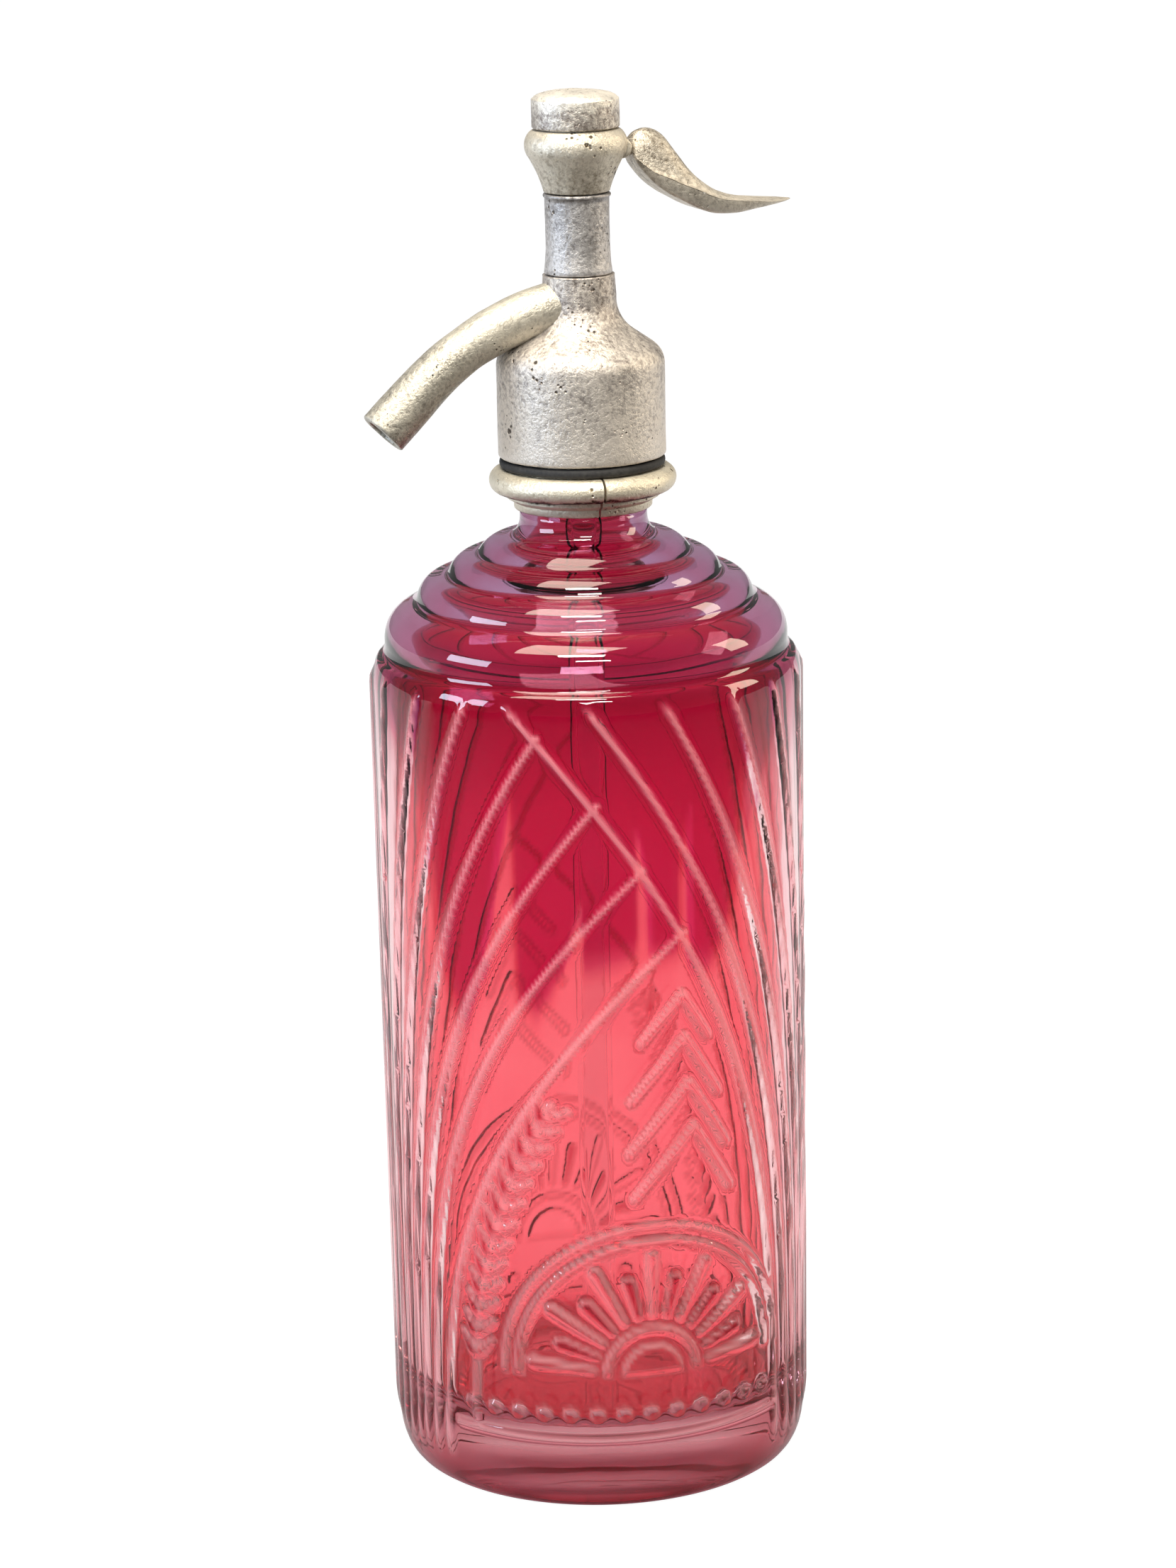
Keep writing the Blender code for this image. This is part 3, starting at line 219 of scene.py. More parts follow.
def distance_to_line(u, v, start, end):
    du, dv = end[0] - start[0], end[1] - start[1]
    t = np.clip(((u - start[0]) * du + (v - start[1]) * dv) / (du * du + dv * dv + 1e-12), 0, 1)
    return np.hypot(u - start[0] - t * du, v - start[1] - t * dv), t


# The panel under the arch of ribs: a rising sun, nested chevrons, an ear of wheat and a row of beads.
SUN = (12.0, 33.0)
CHEVRONS = ((20.0, 121.0, 12.0), (20.5, 111.0, 16.0), (21.5, 100.5, 18.0), (22.5, 90.0, 18.0))
WHEAT_STEM = ((-31.0, 20.0), (-30.0, 40.0), (-26.0, 60.0), (-19.0, 80.0), (-10.0, 97.0))
PANEL_RISE = 1.12


def panel_distance(u, v):
    """How far each point lies outside the nearest raised motif, negative inside it, and the same for those
    motifs that caught more of the crimson."""
    best = np.full(len(u), FAR)
    dark = best.copy()

    def bar(start, end, half_start, half_end, crimson=False):
        nonlocal best, dark
        d, t = distance_to_line(u, v, start, end)
        away = d - (half_start + (half_end - half_start) * t)
        best = np.minimum(best, away)
        if crimson:
            dark = np.minimum(dark, away)

    sun_r = np.hypot(u - SUN[0], v - SUN[1])
    above = SUN[1] - v
    best = np.minimum(best, np.maximum(sun_r - 7.0, above))
    for radius, half in ((10.6, 0.8), (31.5, 0.9), (35.0, 0.6)):
        best = np.minimum(best, np.maximum(np.abs(sun_r - radius) - half, above))
    for i in range(13):
        a = math.radians(6 + 14 * i)
        start, end = (
            (SUN[0] + reach * math.cos(a), SUN[1] + reach * math.sin(a))
            for reach in (14.0, 28.0 if i % 2 == 0 else 22.5)
        )
        bar(start, end, 0.75, 1.35, i % 2 == 1)
    for apex_u, apex_v, leg in CHEVRONS:
        for side in (-0.78, 0.52):
            bar((apex_u, apex_v), (apex_u + side * leg, apex_v - leg * 0.86), 1.0, 1.0)
    stem = smooth_through(WHEAT_STEM, 4)
    for start, end in zip(stem, stem[1:]):
        bar(start, end, 0.6, 0.6)
    for start, end in list(zip(stem, stem[1:]))[3:]:
        along = (end - start) / np.linalg.norm(end - start)
        for side in (-1, 1):
            leaf = along * 0.8 + np.array((-along[1], along[0])) * side * 0.62
            bar(start + leaf * 1.6, start + leaf * 6.4, 1.25, 0.5, side > 0)
    for i in range(13):
        best = np.minimum(best, np.hypot(u - (-32.0 + 6.2 * i), v - 23.5) - 1.6)
    bar((-36.0, 17.6), (46.0, 17.6), 0.55, 0.55)
    return best, dark


# The crimson lies deep under the shoulder and ends in pointed tongues: (turn, height where it stops), in
# degrees from the panel's middle and millimetres. Paler leaves run up between them: (tip turn, tip height,
# foot turn, foot height, half width at the foot).
CRIMSON_EDGE = (
    (-74, 186), (-64, 178), (-55, 165), (-50, 148), (-46, 128), (-39, 111), (-34, 124), (-22, 121),
    (-16, 117), (-9, 126), (10, 130), (25, 130), (33, 125), (40, 134), (47, 150), (53, 166),
    (60, 180), (72, 187),
)
PALE_LEAVES = (
    (-54, 178, -50, 118, 5.5), (-22, 169, -28, 112, 6.5), (12, 160, 14, 146, 1.8), (27, 164, 26, 146, 1.5),
    (47, 176, 45, 120, 6), (-3, 143, -8, 112, 5),
)


def crimson_depth(turn, height):
    """How much crimson the wall carries: all at the top, none low down. Turns are from the panel's middle."""
    turns, stops = zip(*CRIMSON_EDGE)
    stop = np.interp(turn, turns, stops)
    amount = smooth_step(-5, 6, height - stop)
    for tip_turn, tip_z, foot_turn, foot_z, half_width in PALE_LEAVES:
        t = np.clip((tip_z - height) / (tip_z - foot_z), 0, 1)
        middle = tip_turn + (foot_turn - tip_turn) * t
        inside = smooth_step(0.9, -0.9, np.abs(turn - middle) - half_width * t**0.8) * (height < tip_z)
        amount *= 1 - 0.85 * inside
    corner = smooth_step(36, 54, np.abs(turn)) * smooth_step(162, 182, height)
    return (amount + 0.8 * corner) * (1 - 0.9 * smooth_step(187, 197, height))


def smooth_step(low, high, value):
    t = np.clip((value - low) / (high - low), 0, 1)
    return t * t * (3 - 2 * t)


# How far, in radians, the columns of faces close up on the panels
COLUMN_SKEW = 0.1
PANEL_HALF_WIDTH = 60


def press_relief(piece):
    """Raises the ribs and the two panels out of the turned body, and closes up the columns on the panels."""
    mesh = piece.data
    flat = np.empty(len(mesh.vertices) * 3)
    mesh.vertices.foreach_get("co", flat)
    points = flat.reshape(-1, 3) / MM
    radius = np.hypot(points[:, 0], points[:, 1])
    turn = np.arctan2(points[:, 1], points[:, 0]) - math.radians(PANEL_TURN)
    turn -= COLUMN_SKEW * np.sin(2 * turn)
    turn += math.radians(PANEL_TURN)
    points[:, 0], points[:, 1] = radius * np.cos(turn), radius * np.sin(turn)
    skin = (radius > BODY_FOOT_R - 3) & (points[:, 2] > 2) & (points[:, 2] < BODY_HEIGHT - 0.5)
    away = (np.degrees(turn) - PANEL_TURN + 180) % 360 - 180
    back_depth = 0.6 * smooth_step(120, 180, points[:, 2]) * smooth_step(199, 189, points[:, 2])
    depth = np.where(np.abs(away) < 90, crimson_depth(away, points[:, 2]), back_depth)
    rib_highlight, stain = np.zeros(len(points)), np.zeros(len(points))
    height = points[skin, 2]
    lift = np.zeros(skin.sum())
    fade = smooth_step(6, 15, height) * smooth_step(0, 3.5, BODY_HEIGHT - 1.5 - height)
    for half in (0, 180):
        away = np.degrees(turn[skin]) - PANEL_TURN - half
        u = ((away + 180) % 360 - 180) * TURN_MM
        near = np.full(len(u), FAR)
        for start, end in rib_lines():
            box = (np.abs(u - start[0]) < 8) & (np.abs(height - start[1]) < 8)
            near[box] = np.minimum(near[box], distance_to_line(u[box], height[box], start, end)[0])
        rib = np.cos(np.clip(near / RIB_HALF_BASE, 0, 1) * math.pi / 2) ** 2 * RIB_RISE * fade
        motif, dark = panel_distance(u, height)
        on_panel = np.abs(u) < PANEL_HALF_WIDTH
        motif = np.where(on_panel, motif, FAR)
        panel = PANEL_RISE * smooth_step(0.45, -0.4, motif)
        lift = np.maximum(lift, np.maximum(rib, panel))
        # The crest mask is a painted highlight: the rib crests and, through edge, the motifs' outlines are made
        # paler and cloudier for the light they catch.
        edge = 0.6 * smooth_step(0.9, 0.2, np.abs(motif + 0.1))
        rib_highlight[skin] = np.maximum(rib_highlight[skin], np.maximum(smooth_step(1.1, 0.4, near) * fade, edge))
        stain[skin] = np.maximum(stain[skin], smooth_step(0.3, -0.5, np.where(on_panel, dark, FAR)))
    scale = (radius[skin] + lift) / radius[skin]
    points[skin, 0] *= scale
    points[skin, 1] *= scale
    mesh.vertices.foreach_set("co", (points * MM).ravel())
    mesh.update()
    for name, values in (("crimson", depth), ("rib_highlight", rib_highlight), ("stain", stain)):
        mesh.attributes.new(name, "FLOAT", "POINT").data.foreach_set("value", values)


def node_material(name):
    """A new material with its Principled shader and a helper that adds nodes to it."""
    material = bpy.data.materials.new(name)
    material.use_nodes = True
    tree = material.node_tree

    def add(kind, inputs=None, **settings):
        node = tree.nodes.new(kind)
        for key, value in settings.items():
            setattr(node, key, value)
        for key, value in (inputs or {}).items():
            if isinstance(value, bpy.types.NodeSocket):
                tree.links.new(value, node.inputs[key])
            else:
                node.inputs[key].default_value = value
        return node

    return material, tree.nodes["Principled BSDF"], add, tree.links.new


def colour_ramp(add, factor, stops):
    ramp = add("ShaderNodeValToRGB", {"Fac": factor})
    band = ramp.color_ramp
    while len(band.elements) < len(stops):
        band.elements.new(0.5)
    for element, (place, colour) in zip(band.elements, stops):
        element.position = place
        element.color = (*colour, 1)
    return ramp.outputs["Color"]


def attribute_value(add, name):
    return add("ShaderNodeAttribute", attribute_name=name).outputs["Fac"]


def blended(add, factor, first, second, blend="MIX"):
    node = add("ShaderNodeMix", {0: factor, 6: first, 7: second}, data_type="RGBA", blend_type=blend)
    return node.outputs[2]


def pressed_glass(parts, colour, roughness):
    """Clear glass with the faint ripple of pressed glass."""
    material, shader, add, link = parts
    link(colour, shader.inputs["Base Color"])
    shader.inputs["Roughness"].default_value = roughness
    shader.inputs["IOR"].default_value = 1.5
    shader.inputs["Transmission Weight"].default_value = 1.0
    place = add("ShaderNodeTexCoord").outputs["Object"]
    wave = add("ShaderNodeTexNoise", {"Vector": place, "Scale": 70.0, "Detail": 1.0}).outputs["Fac"]
    bump = add("ShaderNodeBump", {"Height": wave, "Strength": 0.05, "Distance": 0.002})
    link(bump.outputs["Normal"], shader.inputs["Normal"])
    return material


# Tints of the outer glass from the foot to the mouth, by its crimson, and from face on to edge on, and of the
# inner glass by its crimson
OUTER_TINT = (
    (0.0, (0.5, 0.08, 0.13)), (0.055, (0.72, 0.25, 0.29)), (0.1, (0.86, 0.5, 0.52)),
    (0.15, (0.96, 0.72, 0.73)), (0.76, (0.95, 0.72, 0.74)), (0.81, (0.5, 0.26, 0.42)),
    (0.9, (0.4, 0.23, 0.38)), (1.0, (0.36, 0.24, 0.36)),
)
OUTER_CRIMSON = ((0.0, (1.0, 1.0, 1.0)), (0.5, (0.6, 0.12, 0.24)), (0.9, (0.22, 0.02, 0.1)))
SIDE_TINT = (
    (0.22, (1.0, 1.0, 1.0)), (0.45, (0.86, 0.42, 0.47)), (0.62, (0.8, 0.5, 0.54)), (0.8, (0.78, 0.7, 0.7)),
)
INNER_TINT = (
    (0.0, (1.0, 0.18, 0.22)), (0.3, (0.92, 0.1, 0.15)), (0.65, (0.64, 0.02, 0.1)), (1.0, (0.5, 0.003, 0.07)),
)
STAIN_TINT = (0.42, 0.03, 0.08, 1)
# Painted highlight colour on the rib crests and motif edges
RIB_HIGHLIGHT_TINT = (0.95, 0.42, 0.45, 1)


def outer_glass():
    """Nearly clear, pinker in the thick heel, mauve on the shoulder and neck, with a painted highlight: paler,
    cloudier glass on the rib crests and motif edges.
    """
    parts = node_material("clear_outer_glass")
    material, shader, add, link = parts
    place = add("ShaderNodeTexCoord").outputs["Object"]
    height = add("ShaderNodeSeparateXYZ", {"Vector": place}).outputs["Z"]
    share = add("ShaderNodeMapRange", {"Value": height, "From Min": 0.0, "From Max": 0.24}).outputs["Result"]
    depth = add("ShaderNodeMath", {0: attribute_value(add, "crimson"), 1: 0.5}, operation="MULTIPLY")
    flush = colour_ramp(add, depth.outputs[0], OUTER_CRIMSON)
    facing = add("ShaderNodeLayerWeight", {"Blend": 0.5}).outputs["Facing"]
    tint = blended(add, 1.0, colour_ramp(add, share, OUTER_TINT), flush, "MULTIPLY")
    tint = blended(add, 1.0, tint, colour_ramp(add, facing, SIDE_TINT), "MULTIPLY")
    tint = blended(add, attribute_value(add, "stain"), tint, STAIN_TINT)
    # Painted highlight: the crest mask pales the tint and makes the glass less clear on the rib crests and
    # motif edges.
    rib_highlight = attribute_value(add, "rib_highlight")
    tint = blended(add, rib_highlight, tint, RIB_HIGHLIGHT_TINT)
    material = pressed_glass(parts, tint, 0.02)
    foot = add("ShaderNodeMapRange", {"Value": height, "From Min": 0.003, "From Max": 0.011, "To Min": 0.5})
    clear = add("ShaderNodeMath", {0: rib_highlight, 1: -0.42, 2: foot.outputs["Result"]}, operation="MULTIPLY_ADD")
    link(clear.outputs[0], shader.inputs["Transmission Weight"])
    return material


def inner_glass():
    """The coloured layer: salmon, with crimson by the painted depth and a slow unevenness."""
    parts = node_material("crimson_inner_glass")
    add = parts[2]
    place = add("ShaderNodeTexCoord").outputs["Object"]
    cloud = add("ShaderNodeTexNoise", {"Vector": place, "Scale": 42.0, "Detail": 3.0}).outputs["Fac"]
    drift = add("ShaderNodeMapRange", {
        "Value": cloud, "From Min": 0.3, "From Max": 0.7, "To Min": -0.1, "To Max": 0.12,
    })
    height = add("ShaderNodeSeparateXYZ", {"Vector": place}).outputs["Z"]
    rise = add("ShaderNodeMapRange", {"Value": height, "From Min": 0.07, "From Max": 0.19, "To Max": 0.3})
    total = attribute_value(add, "crimson")
    for more in (drift, rise):
        total = add("ShaderNodeMath", {0: total, 1: more.outputs["Result"]}, operation="ADD").outputs[0]
    return pressed_glass(parts, colour_ramp(add, total, INNER_TINT), 0.03)


bottle = turned_piece("glass_bottle", bottle_profile(), BOTTLE_TURNS)
press_relief(bottle)
bottle.data.materials.append(outer_glass())
bottle.data.materials.append(inner_glass())
# The clear glass is the body's outside, the foot, the heel and what faces out on the shoulder and neck
BODY_SKIN_R = 45.6
FOOT_SKIN_Z = 12
HEEL_SKIN_R, HEEL_SKIN_Z = 43.4, 20
for face in bottle.data.polygons:
    radius = math.hypot(face.center.x, face.center.y) / MM
    height = face.center.z / MM
    outer = (radius > BODY_SKIN_R and height < BODY_HEIGHT) or height < FOOT_SKIN_Z
    outer = outer or (height < HEEL_SKIN_Z and radius > HEEL_SKIN_R)
    if not outer and height > BODY_HEIGHT - 8:
        outer = face.normal.dot(Vector((face.center.x, face.center.y, 0))) > 0 or face.normal.z > 0.3
    face.material_index = 0 if outer else 1
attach(bottle, "siphon")
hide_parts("bottle")


# The dip tube and what holds it
# A plain glass tube reaches to the bottle's floor. A rubber bush and a brass nut hold it under the valve.
TUBE_R = 4.0
TUBE_BORE_R = 2.7
TUBE_FOOT_Z = 23.0
TUBE_TOP_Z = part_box("dip_tube")[1].z / MM
tube_profile = [
    (TUBE_BORE_R, TUBE_TOP_Z), (TUBE_R, TUBE_TOP_Z), (TUBE_R, TUBE_FOOT_Z + 0.6), (TUBE_R - 0.5, TUBE_FOOT_Z),
    (TUBE_BORE_R + 0.2, TUBE_FOOT_Z), (TUBE_BORE_R, TUBE_FOOT_Z + 0.3), (TUBE_BORE_R, TUBE_TOP_Z),
]
dip_tube = turned_piece("glass_dip_tube", tube_profile, 48)
tube_glass, shader, add, link = node_material("thin_tube_glass")
place = add("ShaderNodeTexCoord").outputs["Object"]
streak = add("ShaderNodeTexNoise", {"Vector": place, "Scale": 60.0, "Detail": 2.0}).outputs["Fac"]
streaks = colour_ramp(add, streak, ((0.3, (0.93, 0.96, 0.96)), (0.7, (0.99, 1.0, 1.0))))
link(streaks, shader.inputs["Base Color"])
shader.inputs["Transmission Weight"].default_value = 1.0
shader.inputs["Roughness"].default_value = 0.0
shader.inputs["IOR"].default_value = 1.05
dip_tube.data.materials.append(tube_glass)
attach(dip_tube, "siphon")
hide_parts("dip_tube")


def speckled_material(name, dark, light, roughness, metallic, grain):
    """A finish of two mixed colours with a fine grain, for turned brass, rubber, fibre and steel."""
    material, shader, add, link = node_material(name)
    place = add("ShaderNodeTexCoord").outputs["Object"]
    fine = add("ShaderNodeTexNoise", {"Vector": place, "Scale": grain, "Detail": 6.0, "Roughness": 0.6})
    fine = fine.outputs["Fac"]
    broad = add("ShaderNodeTexNoise", {"Vector": place, "Scale": grain / 9, "Detail": 3.0}).outputs["Fac"]
    both = add("ShaderNodeMath", {0: fine, 1: broad}, operation="MULTIPLY").outputs[0]
    link(colour_ramp(add, both, ((0.14, dark), (0.4, light))), shader.inputs["Base Color"])
    spread = add(
        "ShaderNodeMapRange", {"Value": fine, "To Min": roughness - 0.08, "To Max": roughness + 0.1}
    ).outputs["Result"]
    link(spread, shader.inputs["Roughness"])
    shader.inputs["Metallic"].default_value = metallic
    bump = add("ShaderNodeBump", {"Height": fine, "Strength": 0.4, "Distance": 0.0003})
    link(bump.outputs["Normal"], shader.inputs["Normal"])
    return material


def dress_node(node, material):
    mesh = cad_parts[node].data
    mesh.materials.clear()
    mesh.materials.append(material)


brass = speckled_material("turned_brass", (0.42, 0.27, 0.09), (0.72, 0.53, 0.25), 0.32, 1.0, 900.0)
rubber = speckled_material("black_rubber", (0.008, 0.008, 0.009), (0.035, 0.033, 0.032), 0.7, 0.0, 1200.0)
fibre = speckled_material("greased_fibre", (0.12, 0.075, 0.04), (0.3, 0.21, 0.12), 0.8, 0.0, 1500.0)
steel = speckled_material("drawn_steel", (0.3, 0.3, 0.31), (0.6, 0.6, 0.6), 0.3, 1.0, 1600.0)
for node in ("tube_bush", "mouth_gasket", "valve_rubber"):
    dress_node(node, rubber)
for node in ("tube_nut", "valve_seat", "rubber_screw", "valve_stem", "packing_gland", "lift_block"):
    dress_node(node, brass)
for node in ("stem_packing", "cap_washer"):
    dress_node(node, fibre)
dress_node("valve_spring", steel)


# The split collar and its rubber seal
# Two cast pewter halves grip the glass under the lip. The bell screws on to their sleeve and squeezes a black
# rubber ring between them.
COLLAR_Z = 222.5
COLLAR_TURN = -6.4
COLLAR_GAP = 0.56
COLLAR_MIDDLE_R = 19.0
BORE_CLEARANCE = 0.3
# The dark line under the collar's bead: its height in metres and its colour, painted shadow with some dirt in
# the groove.
UNDER_BEAD_SHADE_Z = 0.2282
UNDER_BEAD_SHADE_AND_DIRT = (0.05, 0.035, 0.02, 1)


def pewter(name, tones, pale_from, pale_to, pits, roughness=0.42, shade_line_z=None):
    """Cast pewter in dark, middle and light tones: mottled, with pale patches, fine grain and pits, and paler
    between two heights, part wear and part painted highlight.
    The two heights, in metres, say where the paler metal starts and is full."""
    material, shader, add, link = node_material(name)
    place = add("ShaderNodeTexCoord").outputs["Object"]
    broad = add("ShaderNodeTexNoise", {"Vector": place, "Scale": 130.0, "Detail": 6.0, "Roughness": 0.68})
    broad = broad.outputs["Fac"]
    grain = add("ShaderNodeTexNoise", {"Vector": place, "Scale": 1000.0, "Detail": 4.0, "Roughness": 0.7})
    grain = grain.outputs["Fac"]
    patches = add("ShaderNodeMapRange", {"Value": broad, "To Min": 0.27, "To Max": 0.73}).outputs["Result"]
    both = add("ShaderNodeMath", {0: patches, 1: grain}, operation="ADD").outputs[0]
    height = add("ShaderNodeSeparateXYZ", {"Vector": place}).outputs["Z"]
    # Paler metal between the two heights: part wear, part painted highlight where light falls on the piece.
    wear_and_highlight = add(
        "ShaderNodeMapRange", {"Value": height, "From Min": pale_from, "From Max": pale_to, "To Max": 0.22}
    ).outputs["Result"]
    mottle = add("ShaderNodeMath", {0: both, 1: wear_and_highlight}, operation="ADD").outputs[0]
    half = add("ShaderNodeMath", {0: mottle, 1: 0.5}, operation="MULTIPLY").outputs[0]
    colour = colour_ramp(add, half, tuple(zip((0.41, 0.485, 0.59), tones)))
    cells = add("ShaderNodeTexVoronoi", {"Vector": place, "Scale": 820.0}).outputs["Distance"]
    where = add("ShaderNodeTexNoise", {"Vector": place, "Scale": 160.0, "Detail": 3.0}).outputs["Fac"]
    size = add(
        "ShaderNodeMapRange", {"Value": where, "From Min": 0.52, "From Max": 0.75, "To Max": pits}
    ).outputs["Result"]
    depth = add("ShaderNodeMath", {0: cells, 1: size}, operation="SUBTRACT").outputs[0]
    pit = add("ShaderNodeMapRange", {"Value": depth, "From Min": -0.12, "From Max": 0.06}).outputs["Result"]
    dark = tones[0]
    colour = blended(add, pit, (dark[0] * 0.5, dark[1] * 0.47, dark[2] * 0.42, 1), colour)
    # A dark, wandering line at the given height: painted shadow under the bead, with some dirt.
    if shade_line_z:
        wander = add("ShaderNodeMath", {0: broad, 1: 0.0035, 2: height}, operation="MULTIPLY_ADD").outputs[0]
        off = add("ShaderNodeMath", {0: wander, 1: shade_line_z}, operation="SUBTRACT").outputs[0]
        away = add("ShaderNodeMath", {0: off}, operation="ABSOLUTE").outputs[0]
        outside_shade_line = add("ShaderNodeMapRange", {"Value": away, "From Min": 0.0001, "From Max": 0.0006})
        colour = blended(add, outside_shade_line.outputs["Result"], UNDER_BEAD_SHADE_AND_DIRT, colour)
    link(colour, shader.inputs["Base Color"])
    shader.inputs["Metallic"].default_value = 0.66
    spread = add("ShaderNodeMapRange", {
        "Value": broad, "From Min": 0.3, "From Max": 0.7,
        "To Min": roughness - 0.1, "To Max": roughness + 0.12,
    })
    link(spread.outputs["Result"], shader.inputs["Roughness"])
    relief = add("ShaderNodeMath", {0: grain, 1: 0.8, 2: pit}, operation="MULTIPLY_ADD").outputs[0]
    bump = add("ShaderNodeBump", {"Height": relief, "Strength": 0.7, "Distance": 0.0005})
    link(bump.outputs["Normal"], shader.inputs["Normal"])
    return material


def cast_unevenness(piece, depth, size=6.0):
    """Moves a casting's surface in and out a little, as the mould and years of handling leave it."""
    mesh = piece.data
    moved = []
    for vertex in mesh.vertices:
        place = vertex.co / MM / size
        swell = noise.noise(place) + 0.5 * noise.noise(place * 2.3)
        moved.append(vertex.co + vertex.normal * swell * depth * MM)
    mesh.vertices.foreach_set("co", [value for place in moved for value in place])
    mesh.update()


def collar_half(name, side):
    """One half: its closed section spun half a turn, less the gap at the split."""
    bore, sleeve_bore, thread_r = GRIP_R + BORE_CLEARANCE, LIP_R + BORE_CLEARANCE, LIP_R + 2.1
    section = [(thread_r, 20.5), (thread_r, 9.1)]
    section += arc_points(18.3, 6.4, 2.7, 2.7, 90, -70, 14)
    section += [(17.6, 3.95), (17.3, 3.6)] + arc_points(16.9, 2.9, 0.4, 0.4, 0, -60, 2)
    section += [(15.6, 1.7), (15.5, 0.3), (15.2, 0), (bore, 0), (bore, 9.9)]
    section += [(sleeve_bore, 9.9), (sleeve_bore, 20.5)]
    shape = bmesh.new()
    corners = [shape.verts.new((r * MM, 0, (COLLAR_Z + z) * MM)) for r, z in section]
    face = shape.faces.new(corners)
    half_gap = COLLAR_GAP / 2 / COLLAR_MIDDLE_R
    bmesh.ops.spin(
        shape, geom=[face], cent=(0, 0, 0), axis=(0, 0, 1), angle=math.pi - 2 * half_gap, steps=96,
        use_merge=False,
    )
    start = math.radians(COLLAR_TURN - 90 * side) + half_gap
    bmesh.ops.rotate(shape, verts=shape.verts, cent=(0, 0, 0), matrix=Matrix.Rotation(start, 3, "Z"))
    bmesh.ops.recalc_face_normals(shape, faces=shape.faces)
    return finished_piece(name, shape, 50)


collar_tones = (0.27, 0.21, 0.13), (0.52, 0.45, 0.33), (0.76, 0.69, 0.55)
pale_pewter = pewter("pale_collar_pewter", collar_tones, 0.2, 0.21, 0.5, 0.4, UNDER_BEAD_SHADE_Z)
for name, side in (("collar_right", 1), ("collar_left", -1)):
    half = collar_half(f"{name}_casting", side)
    cast_unevenness(half, 0.06, 4.0)
    half.data.materials.append(pale_pewter)
    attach(half, "siphon")
    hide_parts(name)

seal_low, seal_high = (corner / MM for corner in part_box("collar_seal"))
seal_inner_r, seal_round = LIP_R + 2.4, 0.7
seal_middle, seal_half = (seal_low.z + seal_high.z) / 2, (seal_high.z - seal_low.z) / 2
seal_profile = [(seal_inner_r, seal_low.z), (seal_inner_r, seal_high.z)]
seal_profile += arc_points(seal_high.x - seal_round, seal_middle, seal_round, seal_half, 90, -90, 8)
seal = turned_piece("rubber_collar_seal", seal_profile + [(seal_inner_r, seal_low.z)], 120)
cast_unevenness(seal, 0.05, 5.0)
seal.data.materials.append(rubber)
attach(seal, "siphon")
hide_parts("collar_seal")


# The head's lower casting
# The bell covers the collar's sleeve, and the lower column above it holds the valve. One pewter casting,
# dulled and pitted, palest low on the bell.
HEAD_Z = 234.2
SEAM_Z = 274.6
BELL_R = 18.8
BELL_SLOPE = 55
BELL_ROUND = 5.5
CONE_FILLET = 8.5
CONE_FILLET_R = 16.8
COLUMN_R = 8.3
STEM_HOLE_R = 5.6
CHAMBER_R = 8.6


def head_outline():
    """From the seam down the lower column, over the bell to its foot."""
    round_r, round_z = BELL_R - BELL_ROUND, HEAD_Z + 20.3
    slope = math.radians(BELL_SLOPE)
    shoulder_r = round_r + BELL_ROUND * math.cos(slope)
    fillet_r = CONE_FILLET_R - CONE_FILLET * math.cos(slope)
    fillet_z = round_z + (BELL_ROUND + CONE_FILLET) * math.sin(slope)
    fillet_z += (shoulder_r - fillet_r) / math.tan(slope)
    points = [(8.0, SEAM_Z - 0.25 * i) for i in range(3)] + [(8.15, SEAM_Z - 2.4), (COLUMN_R, SEAM_Z - 4.6)]
    points += [(COLUMN_R, fillet_z + (SEAM_Z - 4.6 - fillet_z) * (1 - i / 6)) for i in range(1, 6)]
    points += arc_points(CONE_FILLET_R, fillet_z, CONE_FILLET, CONE_FILLET, 180, 180 + BELL_SLOPE, 12)
    points += arc_points(round_r, round_z, BELL_ROUND, BELL_ROUND, BELL_SLOPE, 0, 10)
    points += [(BELL_R, round_z + (HEAD_Z + 0.8 - round_z) * i / 20) for i in range(1, 20)]
    return points + arc_points(BELL_R - 0.7, HEAD_Z + 0.7, 0.7, 0.7, 0, -90, 3)


head_profile = [(STEM_HOLE_R, SEAM_Z)] + head_outline()
head_profile += [(17.0, HEAD_Z), (17.0, 245.0), (14.6, 245.0), (14.6, 240.8), (CHAMBER_R, 240.8)]
head_profile += [(CHAMBER_R, 254.9), (STEM_HOLE_R, 254.9), (STEM_HOLE_R, SEAM_Z)]
head = turned_piece("head_casting", head_profile, 160)
cast_unevenness(head, 0.09, 7.0)
head_tones = (0.16, 0.135, 0.115), (0.38, 0.34, 0.31), (0.72, 0.66, 0.59)
head_pewter = pewter("head_pewter", head_tones, 0.27, 0.235, 0.45)
head.data.materials.append(head_pewter)
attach(head, "siphon")
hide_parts("head_body")


# The spout
# A cast pewter tube, bent down and cut off square, soldered into the column and paler towards its top, part
# wear and part painted highlight.
SPOUT_R = 5.5
SPOUT_BORE_R = 3.8
SPOUT_ROOT_X = 6.0
SPOUT_Z = 267.66
SPOUT_BEND_R = 59.0
SPOUT_START, SPOUT_END = math.radians(10), math.radians(44)
SPOUT_REACH = 50.5
SPOUT_SWELLS = ((0, 1.05), (0.3, 0.99), (0.55, 0.93), (0.8, 0.98), (1, 1.02))
SPOUT_ROWS = 60
SPOUT_FIRST_X = 2.5


